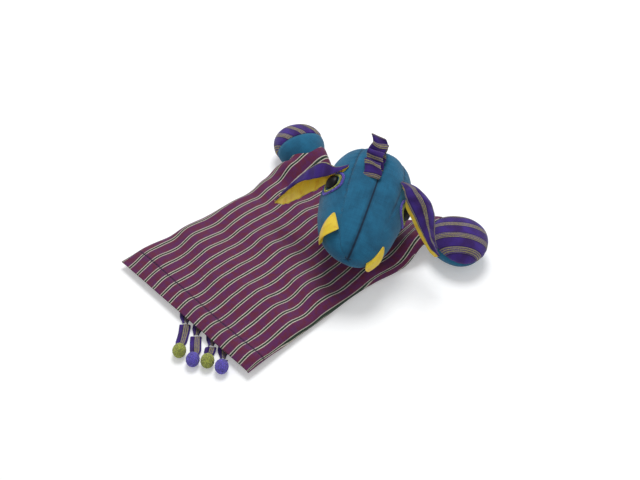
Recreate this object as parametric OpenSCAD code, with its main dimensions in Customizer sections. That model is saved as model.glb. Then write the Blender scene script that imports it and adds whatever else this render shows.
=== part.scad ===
// Dragon hand puppet, laid on its back with its head flopped forward on its
// chest. Millimetres. +Z is up, +Y runs from the hem to the neck and +X is to
// the viewer's right. The origin is on the flat underside of the glove, on
// its centre line. "left" is the -X side and "right" is the +X side.

/* [Glove] */
// Width of the glove across the hem
hem_w = 170; // [158:1:182]
// Width of the glove at the waist
waist_w = 159; // [152:1:168]
// Width of the glove at the chest, below the arms
chest_w = 173; // [168:1:180]
// Distance from the hem to the origin
hem_y = 140; // [130:1:155]
// Distance from the origin to the top of the shoulders
top_y = 72; // [71:0.5:75]
// Thickness of the cloth with its lining
cloth_t = 1.2; // [0.9:0.1:1.5]
// Height of the chest above the table, between two folds
front_rise = 12.4; // [11.8:0.1:12.8]
// Height of the front at the shoulders
top_rise = 8.6; // [8:0.1:9.4]
// Height of the front at the hem
hem_rise = 10.6; // [10:0.1:11.4]
// Height of the soft folds that cross the front
fold_rise = 2.0; // [0:0.1:2.2]
// Distance from one soft fold to the next
fold_pitch = 47; // [38:1:60]
// Sideways lean of the glove between the hem and the chest
lean = 3; // [0:0.5:6]
// Height of the hem's underside above the table
hem_lift = 2.6; // [2.4:0.1:3]
// Depth of the turned hem
hem_band = 17; // [12:1:22]
// Thickness of the hem's turned layer
hem_t = 0.8; // [0.6:0.1:1]

/* [Arms] */
// Distance of each shoulder pivot from the centre line
shoulder_x = 50; // [49:0.5:52]
// Height of the shoulder pivots up the glove
shoulder_y = 54; // [52:0.5:56]
// Angle of the sleeves above the X axis
arm_angle = 38; // [34:1:42]
// Angle that an arm swings up
arm_swing = 45; // [0:1:45]
// Width of a sleeve
sleeve_w = 44; // [40:1:46]
// Radius of a sleeve's round root
root_r = 24; // [23.5:0.1:25]
// Height of a flat sleeve
sleeve_h = 12; // [11:0.5:13]
// Length of the left sleeve beyond its pivot, where it lies bunched
left_sleeve_len = 11.2; // [9:0.1:20]
// Length of the right sleeve beyond its pivot
right_sleeve_len = 35; // [24:1:40]

/* [Paws] */
// Length of a paw
paw_len = 54; // [48:1:58]
// Width of a paw
paw_w = 47; // [42:1:50]
// Thickness of a paw
paw_t = 38; // [32:1:42]
// Direction of the right paw above the X axis
right_paw_dir = 14; // [8:1:30]
// Direction of the left paw above the -X axis
left_paw_dir = 19; // [8:1:30]
// Thickness of the cloth skin on the stuffed pieces
skin_t = 1.3; // [1:0.1:1.6]
// turn of the left paw's seam about the paw, degrees from level
left_paw_tilt = 84; // [60:1:90]
// turn of the right paw's seam about the paw, degrees from level
right_paw_tilt = 22; // [10:1:50]

/* [Neck] */
// Height of the neck's pivot above the table
neck_z = 12; // [11.8:0.1:12.6]
// Distance of the neck's pivot up the glove
neck_y = 66; // [65:0.5:67]
// Outer radius of the neck's collar
collar_r = 15; // [14:0.5:15]
// Thickness of the collar
collar_t = 1.8; // [1.4:0.1:2.2]
// Width of the collar's window towards the hand
collar_window = 20; // [16:1:22]

/* [Head] */
// Length of the head from snout to back
head_len = 113; // [108:1:118]
// Width of the head at its middle
head_w = 72.5; // [68:0.5:76]
// Height of the head at its middle
head_h = 65.4; // [62:0.2:67]
// Widening of the head towards its back
head_wk = 0.15; // [0.05:0.01:0.25]
// Heightening of the head towards its back
head_hk = 0.43; // [0.3:0.01:0.45]
// Sideways turn of the head
head_yaw = 32.6; // [25:0.1:38]
// Nose-down tilt of the head
head_pitch = 3.7; // [0:0.1:8]
// Sideways roll of the head
head_roll = 19.8; // [12:0.1:22]
// Centre of the head along X
head_x = 48; // [44:0.5:52]
// Centre of the head along Y
head_y = 22; // [18:0.5:26]
// Centre of the head along Z
head_z = 52; // [51.5:0.1:56]
// Angle of the two upper side seams around the head
seam_angle = 56; // [50:1:62]
// Angle of the chin's seams around the head
chin_angle = 25; // [15:1:35]
// Radius of the finger pocket
pocket_r = 10.5; // [9:0.1:11]
// Thickness of the pocket's cloth
pocket_t = 0.9; // [0.7:0.1:1.1]
// Depth of the finger pocket
pocket_len = 42; // [34:1:46]
// Lean of the finger pocket towards the snout
pocket_lean = 30; // [24:1:36]
// Place of the pocket's mouth along the head, as an angle from the back
pocket_phi = 50; // [47:1:54]

/* [Face] */
// Place of the eyes along the head, as an angle from the back
eye_phi = 89; // [84:1:94]
// Height of the eyes around the head, as an angle
eye_theta = 26; // [22:1:30]
// Radius of the eye button
button_r = 6.4; // [6:0.1:7.2]
// Height of the eye button
button_h = 4.6; // [3:0.1:5]
// Inner and outer radius of the inner ring of crochet
ring_1 = [9.2, 10.8];
// Inner and outer radius of the outer ring of crochet
ring_2 = [11.4, 13.2];
// Height of the rings of crochet
ring_h = 1.8; // [1:0.1:2]
// Length of a nostril along the snout, as an angle
nostril_span = 24; // [18:1:28]
// Width of a nostril's open end
nostril_w = 12; // [8:0.5:14]
// Height of a nostril's open end
nostril_h = 5.5; // [3:0.5:7]
// Width of the pleated comb
comb_w = 13; // [10:0.5:15]
// How far the middle of the comb lies beside the centre seam
comb_side = -6.5; // [-8:0.5:0]
// Number of pleats in the comb
comb_pleats = 4; // [3:1:5]
// Length of one pleat
pleat_len = 9; // [8:0.5:9.5]
// Height of the comb's last pleat
comb_h = 16; // [10:1:18]
// Place of the comb's first pleat along the head
comb_y = 8; // [4:0.5:12]

/* [Ears] */
// Length of an ear
ear_len = 86; // [76:1:90]
// Greatest width of an ear
ear_w = 24; // [20:0.5:26]
// Width of an ear at its root
ear_root_w = 11; // [9:0.5:13]
// Thickness of the ear's outer cloth
ear_t = 1.3; // [1:0.1:1.5]
// Thickness of the ear's lining
ear_lining_t = 1.1; // [0.8:0.1:1.3]
// Depth of the ear's hollow
ear_cup = 5; // [2:0.5:6]
// Place of the ears along the head, as an angle from the back
ear_phi = 78; // [74:1:82]
// Height of the ears around the head, as an angle
ear_theta = 50; // [46:1:54]
// Gap between an ear's root and the head
ear_gap = 0.6; // [0.4:0.1:1]

/* [Tail] */
// Radius of the crocheted balls
ball_r = 5.75; // [5:0.05:5.8]
// Distance between neighbouring strips
strip_pitch = 11.9; // [11.8:0.1:12.4]
// Width of a strip
strip_w = 7; // [5:0.5:8]
// Thickness of a strip
strip_t = 1.2; // [1:0.1:1.4]
// Distance of the first ball beyond the hem's corner line
ball_run = 38; // [36:0.5:40]

/* [Hidden] */

seam_gap = 0.05;                 // pieces sewn face to face
body_gap = 0.5;                  // pieces of different moving parts
lift_end = -hem_y + 30;          // the underside is lifted up to here
ramp_end = -hem_y + 50;          // and lies on the table from here on
fine = 64;
plum = "#6e2d55";
teal = "#23698f";
violet = "#4b2d82";
yellow = "#f5c81e";
olive = "#a5b43c";
blue_violet = "#6955e1";

// ---- helper functions ----------------------------------------------------
function spow(b, e) = sign(b) * pow(abs(b), e);
function ease(t) = let(c = min(1, max(0, t))) c * c * (3 - 2 * c);
function mix(a, b, t) = a + (b - a) * t;
function rot_x(p, a) = [p.x, p.y * cos(a) - p.z * sin(a),
                        p.y * sin(a) + p.z * cos(a)];
function rot_y(p, a) = [p.x * cos(a) + p.z * sin(a), p.y,
                        -p.x * sin(a) + p.z * cos(a)];
function rot_z(p, a) = [p.x * cos(a) - p.y * sin(a),
                        p.x * sin(a) + p.y * cos(a), p.z];
function unit(p) = p / norm(p);

// Index of column j of row i in a list of rows; a row of one point is a pole.
function starts(rows, i = 0, n = 0, out = []) =
    i == len(rows) ? out
    : starts(rows, i + 1, n + len(rows[i]), concat(out, [n]));
function at(rows, s, i, j) = s[i] + (len(rows[i]) == 1 ? 0
                                     : j % len(rows[i]));
function cells(rows, s, wrap, base, flip) =
    let(n = max([for (r = rows) len(r)]))
    [for (i = [0 : len(rows) - 2], j = [0 : n - (wrap ? 1 : 2)])
        let(a = base + at(rows, s, i, j), b = base + at(rows, s, i + 1, j),
            c = base + at(rows, s, i + 1, j + 1),
            d = base + at(rows, s, i, j + 1))
        each [if (b != c) flip ? [a, b, c] : [c, b, a],
              if (a != d) flip ? [a, c, d] : [d, c, a]]];
function strip(p, q, flip) =
    [for (k = [0 : len(p) - 2])
        each flip ? [[p[k], q[k], q[k + 1]], [p[k], q[k + 1], p[k + 1]]]
                  : [[q[k + 1], q[k], p[k]], [p[k + 1], q[k + 1], p[k]]]];

// A sheet between an outer and an inner grid of points, closed at its edges.
// With wrap the rows are rings; a row of one point is a pole.
module sheet(outer, inner, wrap = false, flip = false) {
    s = starts(outer);
    pts = [for (r = outer) each r];
    m = len(pts);
    n = max([for (r = outer) len(r)]);
    last = len(outer) - 1;
    row0 = [for (j = [0 : n - (wrap ? 0 : 1)]) at(outer, s, 0, j)];
    row1 = [for (j = [0 : n - (wrap ? 0 : 1)]) at(outer, s, last, j)];
    col0 = [for (i = [0 : last]) at(outer, s, i, 0)];
    col1 = [for (i = [0 : last]) at(outer, s, i, n - 1)];
    polyhedron(concat(pts, [for (r = inner) each r]),
        concat(cells(outer, s, wrap, 0, flip),
               cells(outer, s, wrap, m, !flip),
               len(outer[0]) == 1 ? []
                   : strip(row0, [for (k = row0) k + m], !flip),
               len(outer[last]) == 1 ? []
                   : strip(row1, [for (k = row1) k + m], flip),
               wrap ? [] : strip(col0, [for (k = col0) k + m], flip),
               wrap ? [] : strip(col1, [for (k = col1) k + m], !flip)));
}

// A closed body from rings between two poles.
module blob(rows, flip = false) {
    s = starts(rows);
    polyhedron([for (r = rows) each r], cells(rows, s, true, 0, flip));
}

// ---- glove ---------------------------------------------------------------
function glove_half(y) = y < -10
    ? mix(hem_w, waist_w, ease((y + hem_y) / (hem_y - 10))) / 2
    : mix(waist_w, chest_w, ease((y + 10) / 50)) / 2;
function glove_mid(y) = lean * ease((y + hem_y) / (hem_y + 36));
function under_z(y) = hem_lift * min(1, max(0, (ramp_end - y)
                                            / (ramp_end - lift_end)));
function back_z(y) = under_z(y) + cloth_t;
function front_z(y) =
    y < -60 ? mix(hem_rise, front_rise, ease((y + hem_y) / (hem_y - 60)))
            : mix(front_rise, top_rise, ease((y - 8) / 44));
function folds(x, y) = fold_rise * sin(360 * (y + 0.12 * x) / fold_pitch)
    * (1 - ease((y - 5) / 40)) * ease((y + hem_y + 4) / 24);
function rows_y() = concat(
    [-hem_y, -hem_y + hem_band / 2, -hem_y + hem_band, lift_end],
    [for (k = [1 : 2]) mix(lift_end, ramp_end, k / 2)],
    [for (k = [1 : 16]) mix(ramp_end, top_y, k / 16)]);
// Row of the front across the glove; cut is how far inside the face it lies.
function front_row(y, cut, n = 20) =
    [for (j = [0 : n])
        let(a = 180 * j / n, w = glove_half(y) - cut,
            z0 = back_z(y) + seam_gap, s = spow(cos(a), 0.62),
            x = glove_mid(y) + w * s,
            h = front_z(y) + folds(x, y) - z0 - cut)
        [x, y, z0 + h * spow(sin(a), 0.62)]];

module glove_plan() {
    ys = [for (k = [0 : 24]) mix(-hem_y, top_y, k / 24)];
    polygon(concat([for (y = ys) [glove_mid(y) + glove_half(y), y]],
                   [for (k = [24 : -1 : 0])
                       [glove_mid(ys[k]) - glove_half(ys[k]), ys[k]]]));
}

// Space that an arm's root and sleeve need, seen from above.
module arm_space(side) {
    r = root_r + body_gap;
    w = sleeve_w / 2 + body_gap + 0.2;
    a = arm_angle;
    b = arm_angle + arm_swing;
    translate([lean, 0, -5]) mirror([side < 0 ? 1 : 0, 0, 0])
        translate([shoulder_x, shoulder_y, 0]) {
            cylinder(r = r, h = 40, $fn = fine);
            linear_extrude(40) polygon([
                [0, 0], [w * sin(a), -w * cos(a)],
                [w * sin(a) + 80 * cos(a), -w * cos(a) + 80 * sin(a)],
                [90, 90], [-w * sin(b) + 80 * cos(b), 90],
                [-w * sin(b), w * cos(b)]]);
        }
}

module neck_space() {
    translate([lean, neck_y, back_z(neck_y) + 0.01])
        cylinder(r = collar_r + body_gap, h = 30, $fn = fine);
}

module glove_back_panel() {
    color(plum) difference() {
        intersection() {
            linear_extrude(20) glove_plan();
            translate([-150, 0, 0]) rotate([90, 0, 90]) linear_extrude(300)
                polygon([[-hem_y, hem_lift], [lift_end, hem_lift],
                         [ramp_end, 0], [top_y, 0], [top_y, cloth_t],
                         [ramp_end, cloth_t],
                         [lift_end, hem_lift + cloth_t],
                         [-hem_y, hem_lift + cloth_t]]);
        }
        arm_space(1);
        arm_space(-1);
    }
}

module glove_front_panel() {
    color(plum) difference() {
        sheet([for (y = rows_y()) front_row(y, 0)],
              [for (y = rows_y()) front_row(y, cloth_t)]);
        arm_space(1);
        arm_space(-1);
        neck_space();
    }
}

module hem_facing() {
    ys = [for (k = [0 : 2]) -hem_y + hem_band * k / 2];
    color(plum)
        sheet([for (y = ys) front_row(y, cloth_t + seam_gap)],
              [for (y = ys) front_row(y, cloth_t + seam_gap + hem_t)]);
}

// ---- arms ----------------------------------------------------------------
function sleeve_ring(len_, f, cut, n = 20) =
    [for (j = [0 : n - 1])
        let(a = 360 * j / n,
            v = (sleeve_w / 2 - cut) * spow(cos(a), 0.6),
            z = (sleeve_h / 2 - cut) * spow(sin(a), 0.7),
            s = mix(-sqrt(root_r * root_r - v * v), len_, f))
        [s, v, 0.4 + sleeve_h / 2 + z]];

module sleeve(side, len_) {
    rows = 5;
    color(plum) translate([lean, 0, 0]) mirror([side < 0 ? 1 : 0, 0, 0])
        translate([shoulder_x, shoulder_y, 0]) rotate([0, 0, arm_angle])
            sheet([for (i = [0 : rows]) sleeve_ring(len_, i / rows, 0)],
                  [for (i = [0 : rows]) sleeve_ring(len_, i / rows, cloth_t)],
                  wrap = true, flip = true);
}
module left_sleeve() sleeve(-1, left_sleeve_len);
module right_sleeve() sleeve(1, right_sleeve_len);

// ---- paws ----------------------------------------------------------------
// Rows run across the paw from pole to pole; a0 to a1 is the sector of its
// long section that a panel covers, from the tip (0) over the top (90).
function paw_point(phi, a, cut) =
    let(s = paw_len / 2 - cut, w = paw_w / 2 - cut, h = paw_t / 2 - cut,
        r = spow(sin(phi), 0.9), u = s * r * cos(a))
    [u, w * (1 + 0.12 * u / s) * cos(phi), h * r * sin(a)];
function paw_rows(a0, a1, cut, rows, cols, wrap) =
    concat([[paw_point(0, 0, cut)]],
           [for (i = [1 : rows - 1])
               [for (j = [0 : cols - (wrap ? 1 : 0)])
                   paw_point(180 * i / rows, mix(a0, a1, j / cols), cut)]],
           [[paw_point(180, 0, cut)]]);

function paw_turn(side) = side < 0 ? left_paw_tilt : right_paw_tilt;

module place_paw(side) {
    len_ = side < 0 ? left_sleeve_len : right_sleeve_len;
    dir = side < 0 ? left_paw_dir : right_paw_dir;
    translate([lean, 0, 0]) mirror([side < 0 ? 1 : 0, 0, 0])
        translate([shoulder_x + len_ * cos(arm_angle),
                   shoulder_y + len_ * sin(arm_angle), paw_t / 2])
            rotate([0, 0, dir])
                translate([paw_len / 2 + (side < 0 ? left_wrist_gap : right_wrist_gap),
                           0, 0]) children();
}
left_wrist_gap = 0.3;            // from a sleeve's end to the round of a paw
right_wrist_gap = 0.35;

module paw_panel(side, a0, a1) {
    place_paw(side) sheet(paw_rows(a0, a1, 0, 8, 9, false),
                          paw_rows(a0, a1, skin_t, 8, 9, false), flip = true);
}
module paw_stuffing(side) {
    color("white") place_paw(side)
        blob(paw_rows(-paw_turn(side), 360 - paw_turn(side),
                      skin_t + seam_gap, 8, 18, true), flip = true);
}
module left_paw_underside() color(teal)
    paw_panel(-1, 180 - left_paw_tilt, 360 - left_paw_tilt);
module right_paw_underside() color(teal)
    paw_panel(1, 180 - right_paw_tilt, 360 - right_paw_tilt);
module left_paw_top() color(violet)
    paw_panel(-1, -left_paw_tilt, 180 - left_paw_tilt);
module right_paw_top() color(violet)
    paw_panel(1, -right_paw_tilt, 180 - right_paw_tilt);
module left_paw_stuffing() paw_stuffing(-1);
module right_paw_stuffing() paw_stuffing(1);

// ---- head ----------------------------------------------------------------
// phi runs from the back (0) to the snout (180), theta around from the right
// side (0) over the top (90).
function head_point(phi, theta, cut = 0) =
    let(c = spow(cos(phi), 0.8), r = spow(sin(phi), 0.8))
    [(head_w / 2 - cut) * (1 + head_wk * c) * r * spow(cos(theta), 0.85),
     (head_len / 2 - cut) * c,
     (head_h / 2 - cut) * (1 + head_hk * c) * r * spow(sin(theta), 0.85)];
function head_normal(phi, theta) =
    unit(cross(head_point(phi - 1, theta) - head_point(phi + 1, theta),
               head_point(phi, theta + 1) - head_point(phi, theta - 1)));
function head_world(p) =
    rot_z(rot_x(rot_y(p, head_roll), head_pitch), head_yaw)
    + [head_x, head_y, head_z];
// Height of the head's top line at a place along it.
function head_top(y) =
    let(c = y / (head_len / 2), q = spow(c, 1 / 0.8))
    head_h / 2 * (1 + head_hk * c) * pow(1 - q * q, 0.4);

module place_head() {
    translate([head_x, head_y, head_z]) rotate([0, 0, head_yaw])
        rotate([head_pitch, 0, 0]) rotate([0, head_roll, 0]) children();
}

// The seams around the head and the steps that each panel takes to the next.
SEAMS = [-chin_angle, seam_angle, 90, 180 - seam_angle, 180 + chin_angle,
         360 - chin_angle];
STEPS = [7, 4, 4, 7, 9];
function panel_thetas(k) =
    [for (j = [0 : STEPS[k]]) mix(SEAMS[k], SEAMS[k + 1], j / STEPS[k])];
function head_rows(thetas, cut, rows = 13) =
    concat([[head_point(0, 0, cut)]],
           [for (i = [1 : rows - 1])
               [for (t = thetas) head_point(180 * i / rows, t, cut)]],
           [[head_point(180, 0, cut)]]);

module head_panel(k) {
    sheet(head_rows(panel_thetas(k), 0), head_rows(panel_thetas(k), skin_t),
          flip = true);
}

// The place of the finger pocket's mouth on the chin, along the pocket.
module place_pocket() {
    translate(head_point(pocket_phi, 270)) rotate([pocket_lean, 0, 0])
        children();
}

module head_right_cheek() color(teal) place_head() head_panel(0);
module head_right_crown() color(teal) place_head() head_panel(1);
module head_left_crown() color(teal) place_head() head_panel(2);
module head_left_cheek() color(teal) place_head() head_panel(3);
module head_chin() color(teal) place_head() difference() {
    head_panel(4);
    place_pocket() translate([0, 0, -12])
        cylinder(r = pocket_r + pocket_t + 0.1, h = 30, $fn = fine);
}
module head_stuffing() color("white") place_head() difference() {
    blob(head_rows([for (k = [0 : 4], j = [0 : STEPS[k] - 1])
                       panel_thetas(k)[j]], skin_t + seam_gap), flip = true);
    place_pocket() translate([0, 0, -20])
        cylinder(r = pocket_r + pocket_t + 0.1,
                 h = 20 + pocket_len + pocket_t + 0.6, $fn = fine);
}
module finger_pocket() color(plum) place_head() place_pocket()
    translate([0, 0, 0.5]) difference() {
        cylinder(r = pocket_r + pocket_t, h = pocket_len + pocket_t - 0.5, $fn = fine);
        translate([0, 0, -1])
            cylinder(r = pocket_r, h = pocket_len + 0.5, $fn = fine);
    }

// ---- neck ----------------------------------------------------------------
module neck_collar() {
    z0 = back_z(neck_y) + 0.3;
    top = neck_z - 1;
    color(plum) translate([lean, neck_y, 0]) difference() {
        translate([0, 0, z0])
            cylinder(r = collar_r, h = top - z0, $fn = fine);
        translate([0, 0, z0 - 1])
            cylinder(r = collar_r - collar_t, h = top - z0 + 2, $fn = fine);
        translate([-collar_window / 2, -2 * collar_r, z0 + 0.8])
            cube([collar_window, 2 * collar_r, top - z0 - 1.6]);
    }
}

// Ring at the collar, flat, and round at the pocket's mouth.
function neck_ring(f, cut, n = 18) =
    [for (j = [0 : n - 1])
        let(a = 360 * j / n,
            p = rot_z([(13 - cut) * cos(a), -4.5,
                       0.1 + (2.2 - cut) * sin(a)], head_yaw)
                + [lean, neck_y, neck_z],
            r = pocket_r + pocket_t - cut,
            q = head_world(head_point(pocket_phi, 270)
                + rot_x([r * cos(a), r * sin(a), 0.2], pocket_lean)))
        mix(p, q, f)];
module neck_sleeve() {
    rows = 4;
    color(plum)
        sheet([for (i = [0 : rows]) neck_ring(i / rows, 0)],
              [for (i = [0 : rows]) neck_ring(i / rows, pocket_t)],
              wrap = true, flip = true);
}

// ---- face ----------------------------------------------------------------
// A point at distance d in direction a from a place on the head, h above it.
function on_head(phi, theta, d, a, h) =
    let(sp = norm(head_point(phi + 1, theta) - head_point(phi - 1, theta)) / 2,
        st = norm(head_point(phi, theta + 1) - head_point(phi, theta - 1)) / 2,
        p = phi + d * cos(a) / sp, t = theta + d * sin(a) / st)
    head_point(p, t) + h * head_normal(p, t);

module crochet_ring(phi, theta, radii, h) {
    n = 20;
    base = 0.12;
    function ring(d, z) = [for (k = [0 : n - 1])
                           on_head(phi, theta, d, 360 * k / n, z)];
    mid = (radii[0] + radii[1]) / 2;
    sheet([ring(radii[0], base), ring(radii[0], h * 0.6), ring(mid, h),
           ring(radii[1], h * 0.6), ring(radii[1], base)],
          [for (d = [radii[0], mix(radii[0], mid, 0.5), mid,
                     mix(radii[1], mid, 0.5), radii[1]])
              ring(mix(d, mid, 0.3), base)], wrap = true, flip = true);
}

module eye_button(side) {
    t = side < 0 ? 180 - eye_theta : eye_theta;
    n = head_normal(eye_phi, t);
    color("#0a0a0c") place_head()
        translate(head_point(eye_phi, t) + 0.1 * n)
            rotate([0, acos(n.z), atan2(n.y, n.x)])
                rotate_extrude($fn = fine)
                    polygon(concat([[0, 0], [button_r, 0]],
                        [for (k = [1 : 8]) let(a = 90 * k / 8)
                            [button_r * cos(a),
                             0.8 + (button_h - 0.8) * sin(a)]]));
}
module ring(side, radii) {
    t = side < 0 ? 180 - eye_theta : eye_theta;
    place_head() crochet_ring(eye_phi, t, radii, ring_h);
}
module left_eye_button() eye_button(-1);
module right_eye_button() eye_button(1);
module left_eye_inner_ring() color(olive) ring(-1, ring_1);
module right_eye_inner_ring() color(olive) ring(1, ring_1);
module left_eye_outer_ring() color(blue_violet) ring(-1, ring_2);
module right_eye_outer_ring() color(blue_violet) ring(1, ring_2);

// A folded cone of satin that opens towards the snout.
module nostril(side) {
    rows = 6;
    cols = 8;
    function spot(f, a, cut) =
        let(phi = (side < 0 ? 116 : 124) + nostril_span * f,
            t0 = (side < 0 ? 41 : 34) - 31 * f,
            d = (1 + (nostril_w / 2 - 1) * pow(f, 0.8) - cut) * cos(a))
        on_head(phi, side < 0 ? 180 - t0 : t0, d, 90,
                0.12 + (1.2 + (nostril_h - 1.2) * f - cut) * sin(a));
    function row(f, cut) =
        [for (j = [0 : cols]) spot(f, 180 * j / cols, cut)];
    color(yellow) place_head()
        sheet([for (i = [0 : rows]) row(i / rows, 0)],
              [for (i = [0 : rows]) row(i / rows, 0.7)]);
}
module left_nostril() nostril(-1);
module right_nostril() nostril(1);

// The comb is one strip laid in pleats along the centre seam.
module comb_strip() {
    t = 1.5;
    low = [for (k = [0 : comb_pleats]) let(y = comb_y + pleat_len * k)
              [y, head_top(min(y, 0.45 * head_len)) + 0.25]];
    high = [for (k = [0 : comb_pleats - 1])
               let(y = comb_y + pleat_len * (k + 0.85))
               [y, head_top(y) + mix(4, comb_h, k / (comb_pleats - 1))]];
    path = concat([for (k = [0 : comb_pleats - 1]) each [low[k], high[k]]],
                  [low[comb_pleats] + [1, 0]]);
    n = len(path);
    color(violet) place_head() rotate([90, 0, 90])
        translate([0, 0, comb_side - comb_w / 2]) linear_extrude(comb_w)
            polygon(concat(path, [for (k = [n - 1 : -1 : 0])
                                     path[k] + [0, t]]));
}

// ---- ears ----------------------------------------------------------------
// Each ear hangs in an arc: its direction seen from above, its slope at the
// root and the tip, the turn of its width at the root and further out, and
// the height of its root above the head.
LEFT_EAR = [205, -10, -75, -14, 110, -0.5];
RIGHT_EAR = [-16, 14, -78, -57, -10, -1.05];
function ear_base(side) =
    let(t = side < 0 ? 180 - ear_theta : ear_theta,
        e = side < 0 ? LEFT_EAR : RIGHT_EAR)
    head_world(head_point(ear_phi, t)
               + (ear_gap + ear_lining_t + e[5]) * head_normal(ear_phi, t));
function ear_half(f) = f < 0.4
    ? mix(ear_root_w, ear_w, sin(90 * f / 0.4)) / 2
    : max(0.7, ear_w / 2 * cos(90 * pow((f - 0.4) / 0.6, 1.25)));
function sum3(v, i = 0) = i == len(v) ? [0, 0, 0] : v[i] + sum3(v, i + 1);
function ear_line(e, f, n = 16) = sum3([for (k = [0 : n - 1])
    let(p = mix(e[1], e[2], f * (k + 0.5) / n))
    ear_len * f / n * [cos(p), 0, sin(p)]]);
function ear_rows(e, h, rows = 10, cols = 4) =
    [for (i = [0 : rows])
        let(f = i / rows, p = mix(e[1], e[2], f), w = ear_half(f),
            b = mix(e[3], e[4], ease(f / 0.5)), c = ear_line(e, f),
            up0 = [-sin(p), 0, cos(p)], side0 = [0, 1, 0],
            side = side0 * cos(b) + up0 * sin(b),
            up = up0 * cos(b) - side0 * sin(b))
        [for (j = [0 : cols])
            let(v = -1 + 2 * j / cols,
                cup = ear_cup * sin(180 * pow(f, 0.7)) * (1 - v * v))
            c + side * w * v + up * (h + cup)]];
module ear_layer(side, h0, h1) {
    e = side < 0 ? LEFT_EAR : RIGHT_EAR;
    translate(ear_base(side)) rotate([0, 0, e[0]])
        sheet(ear_rows(e, h1), ear_rows(e, h0));
}
module left_ear_outer() color(violet) ear_layer(-1, 0, ear_t);
module left_ear_lining() color(yellow) ear_layer(-1, -ear_lining_t, 0);
module right_ear_outer() color(violet) ear_layer(1, 0, ear_t);
module right_ear_lining() color(yellow) ear_layer(1, -ear_lining_t, 0);

// ---- tail ----------------------------------------------------------------
// The strips run slantwise from under the hem: along is the distance in the
// strips' direction and across is the distance at right angles to it.
TAIL_DIR = -45;
BALL_ALONG = [0, 9, 10, 15.5];
first_across = 2.5;
function across(k) = first_across + strip_pitch * k;
function along(k) = ball_run + BALL_ALONG[k];
function hinge_along(k) = across(k) + strip_w / 2 + 0.8;
module place_tail() translate([0, -hem_y, 0]) rotate([0, 0, TAIL_DIR]) children();

module tail_strip() color(violet) place_tail() {
    union() {
        translate([-10, across(0) - strip_w / 2, 0])
            cube([10, 3 * strip_pitch + strip_w, strip_t]);
        for (k = [0 : 3])
            translate([-1, across(k) - strip_w / 2, 0])
                cube([hinge_along(k) + 1 - 0.6, strip_w, strip_t]);
        translate([-5, across(1.5), 0])
            cylinder(r = 4.5, h = hem_lift - 0.3, $fn = fine);
    }
}
module tassel_strip(k) color(violet) place_tail()
    translate([hinge_along(k), across(k) - strip_w / 2, 0])
        cube([along(k) - hinge_along(k)
              - sqrt(ball_r * ball_r - pow(ball_r - strip_t, 2)) - 0.1,
              strip_w, strip_t]);
module crochet_ball(k) color(k % 2 == 0 ? olive : blue_violet) place_tail()
    translate([along(k), across(k), ball_r]) sphere(r = ball_r, $fn = fine);
module tassel_strip_1() tassel_strip(0);
module tassel_strip_2() tassel_strip(1);
module tassel_strip_3() tassel_strip(2);
module tassel_strip_4() tassel_strip(3);
module crochet_ball_1() crochet_ball(0);
module crochet_ball_2() crochet_ball(1);
module crochet_ball_3() crochet_ball(2);
module crochet_ball_4() crochet_ball(3);

glove_back_panel();
glove_front_panel();
hem_facing();
left_sleeve();
right_sleeve();
left_paw_underside();
left_paw_top();
left_paw_stuffing();
right_paw_underside();
right_paw_top();
right_paw_stuffing();
neck_collar();
neck_sleeve();
head_left_crown();
head_right_crown();
head_left_cheek();
head_right_cheek();
head_chin();
head_stuffing();
finger_pocket();
comb_strip();
left_nostril();
right_nostril();
left_eye_button();
left_eye_inner_ring();
left_eye_outer_ring();
right_eye_button();
right_eye_inner_ring();
right_eye_outer_ring();
left_ear_outer();
left_ear_lining();
right_ear_outer();
right_ear_lining();
tail_strip();
tassel_strip_1();
tassel_strip_2();
tassel_strip_3();
tassel_strip_4();
crochet_ball_1();
crochet_ball_2();
crochet_ball_3();
crochet_ball_4();
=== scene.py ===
"""Cloth dragon hand puppet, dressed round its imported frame.

Lengths in the classes are millimetres, and each finished mesh is scaled to
metres in the frame. +Z is up and +Y runs from the hem to the neck.
"""
import logging
import math
from dataclasses import dataclass, field
from enum import Enum
from functools import cache
from typing import Callable, Sequence

import bmesh
import bpy
from mathutils import Euler, Matrix, Vector, noise


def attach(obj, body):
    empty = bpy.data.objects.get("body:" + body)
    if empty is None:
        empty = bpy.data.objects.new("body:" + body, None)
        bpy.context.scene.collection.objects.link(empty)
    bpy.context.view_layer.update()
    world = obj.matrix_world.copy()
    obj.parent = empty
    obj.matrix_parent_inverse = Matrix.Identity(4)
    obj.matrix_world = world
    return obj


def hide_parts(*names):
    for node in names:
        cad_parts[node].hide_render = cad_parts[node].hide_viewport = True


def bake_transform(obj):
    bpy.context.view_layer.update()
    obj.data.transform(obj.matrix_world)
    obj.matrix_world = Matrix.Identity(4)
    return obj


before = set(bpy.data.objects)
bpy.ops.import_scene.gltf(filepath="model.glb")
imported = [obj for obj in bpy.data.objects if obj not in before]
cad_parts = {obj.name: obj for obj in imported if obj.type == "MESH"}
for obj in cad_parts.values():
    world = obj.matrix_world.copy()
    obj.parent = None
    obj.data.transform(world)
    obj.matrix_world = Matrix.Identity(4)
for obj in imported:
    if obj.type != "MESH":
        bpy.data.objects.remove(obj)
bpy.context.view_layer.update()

log = logging.getLogger("puppet")
MM = 0.001          # metres in a millimetre
HEM_Y = -140.0      # the hem, along the glove
MIDDLE = 3.0        # the glove's centre line at the shoulders
Point = Callable[[float, float], Vector]
Colour = tuple[int, int, int]


# ---------------------------------------------------------------- helpers
def cosd(a: float) -> float:
    """Cosine of an angle in degrees."""
    return math.cos(math.radians(a))


def sind(a: float) -> float:
    """Sine of an angle in degrees."""
    return math.sin(math.radians(a))


def spow(b: float, e: float) -> float:
    """Signed power, which keeps the sign of its base."""
    return math.copysign(abs(b) ** e, b)


def mix(a: float, b: float, t: float) -> float:
    """Linear blend of two numbers."""
    return a + (b - a) * t


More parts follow.
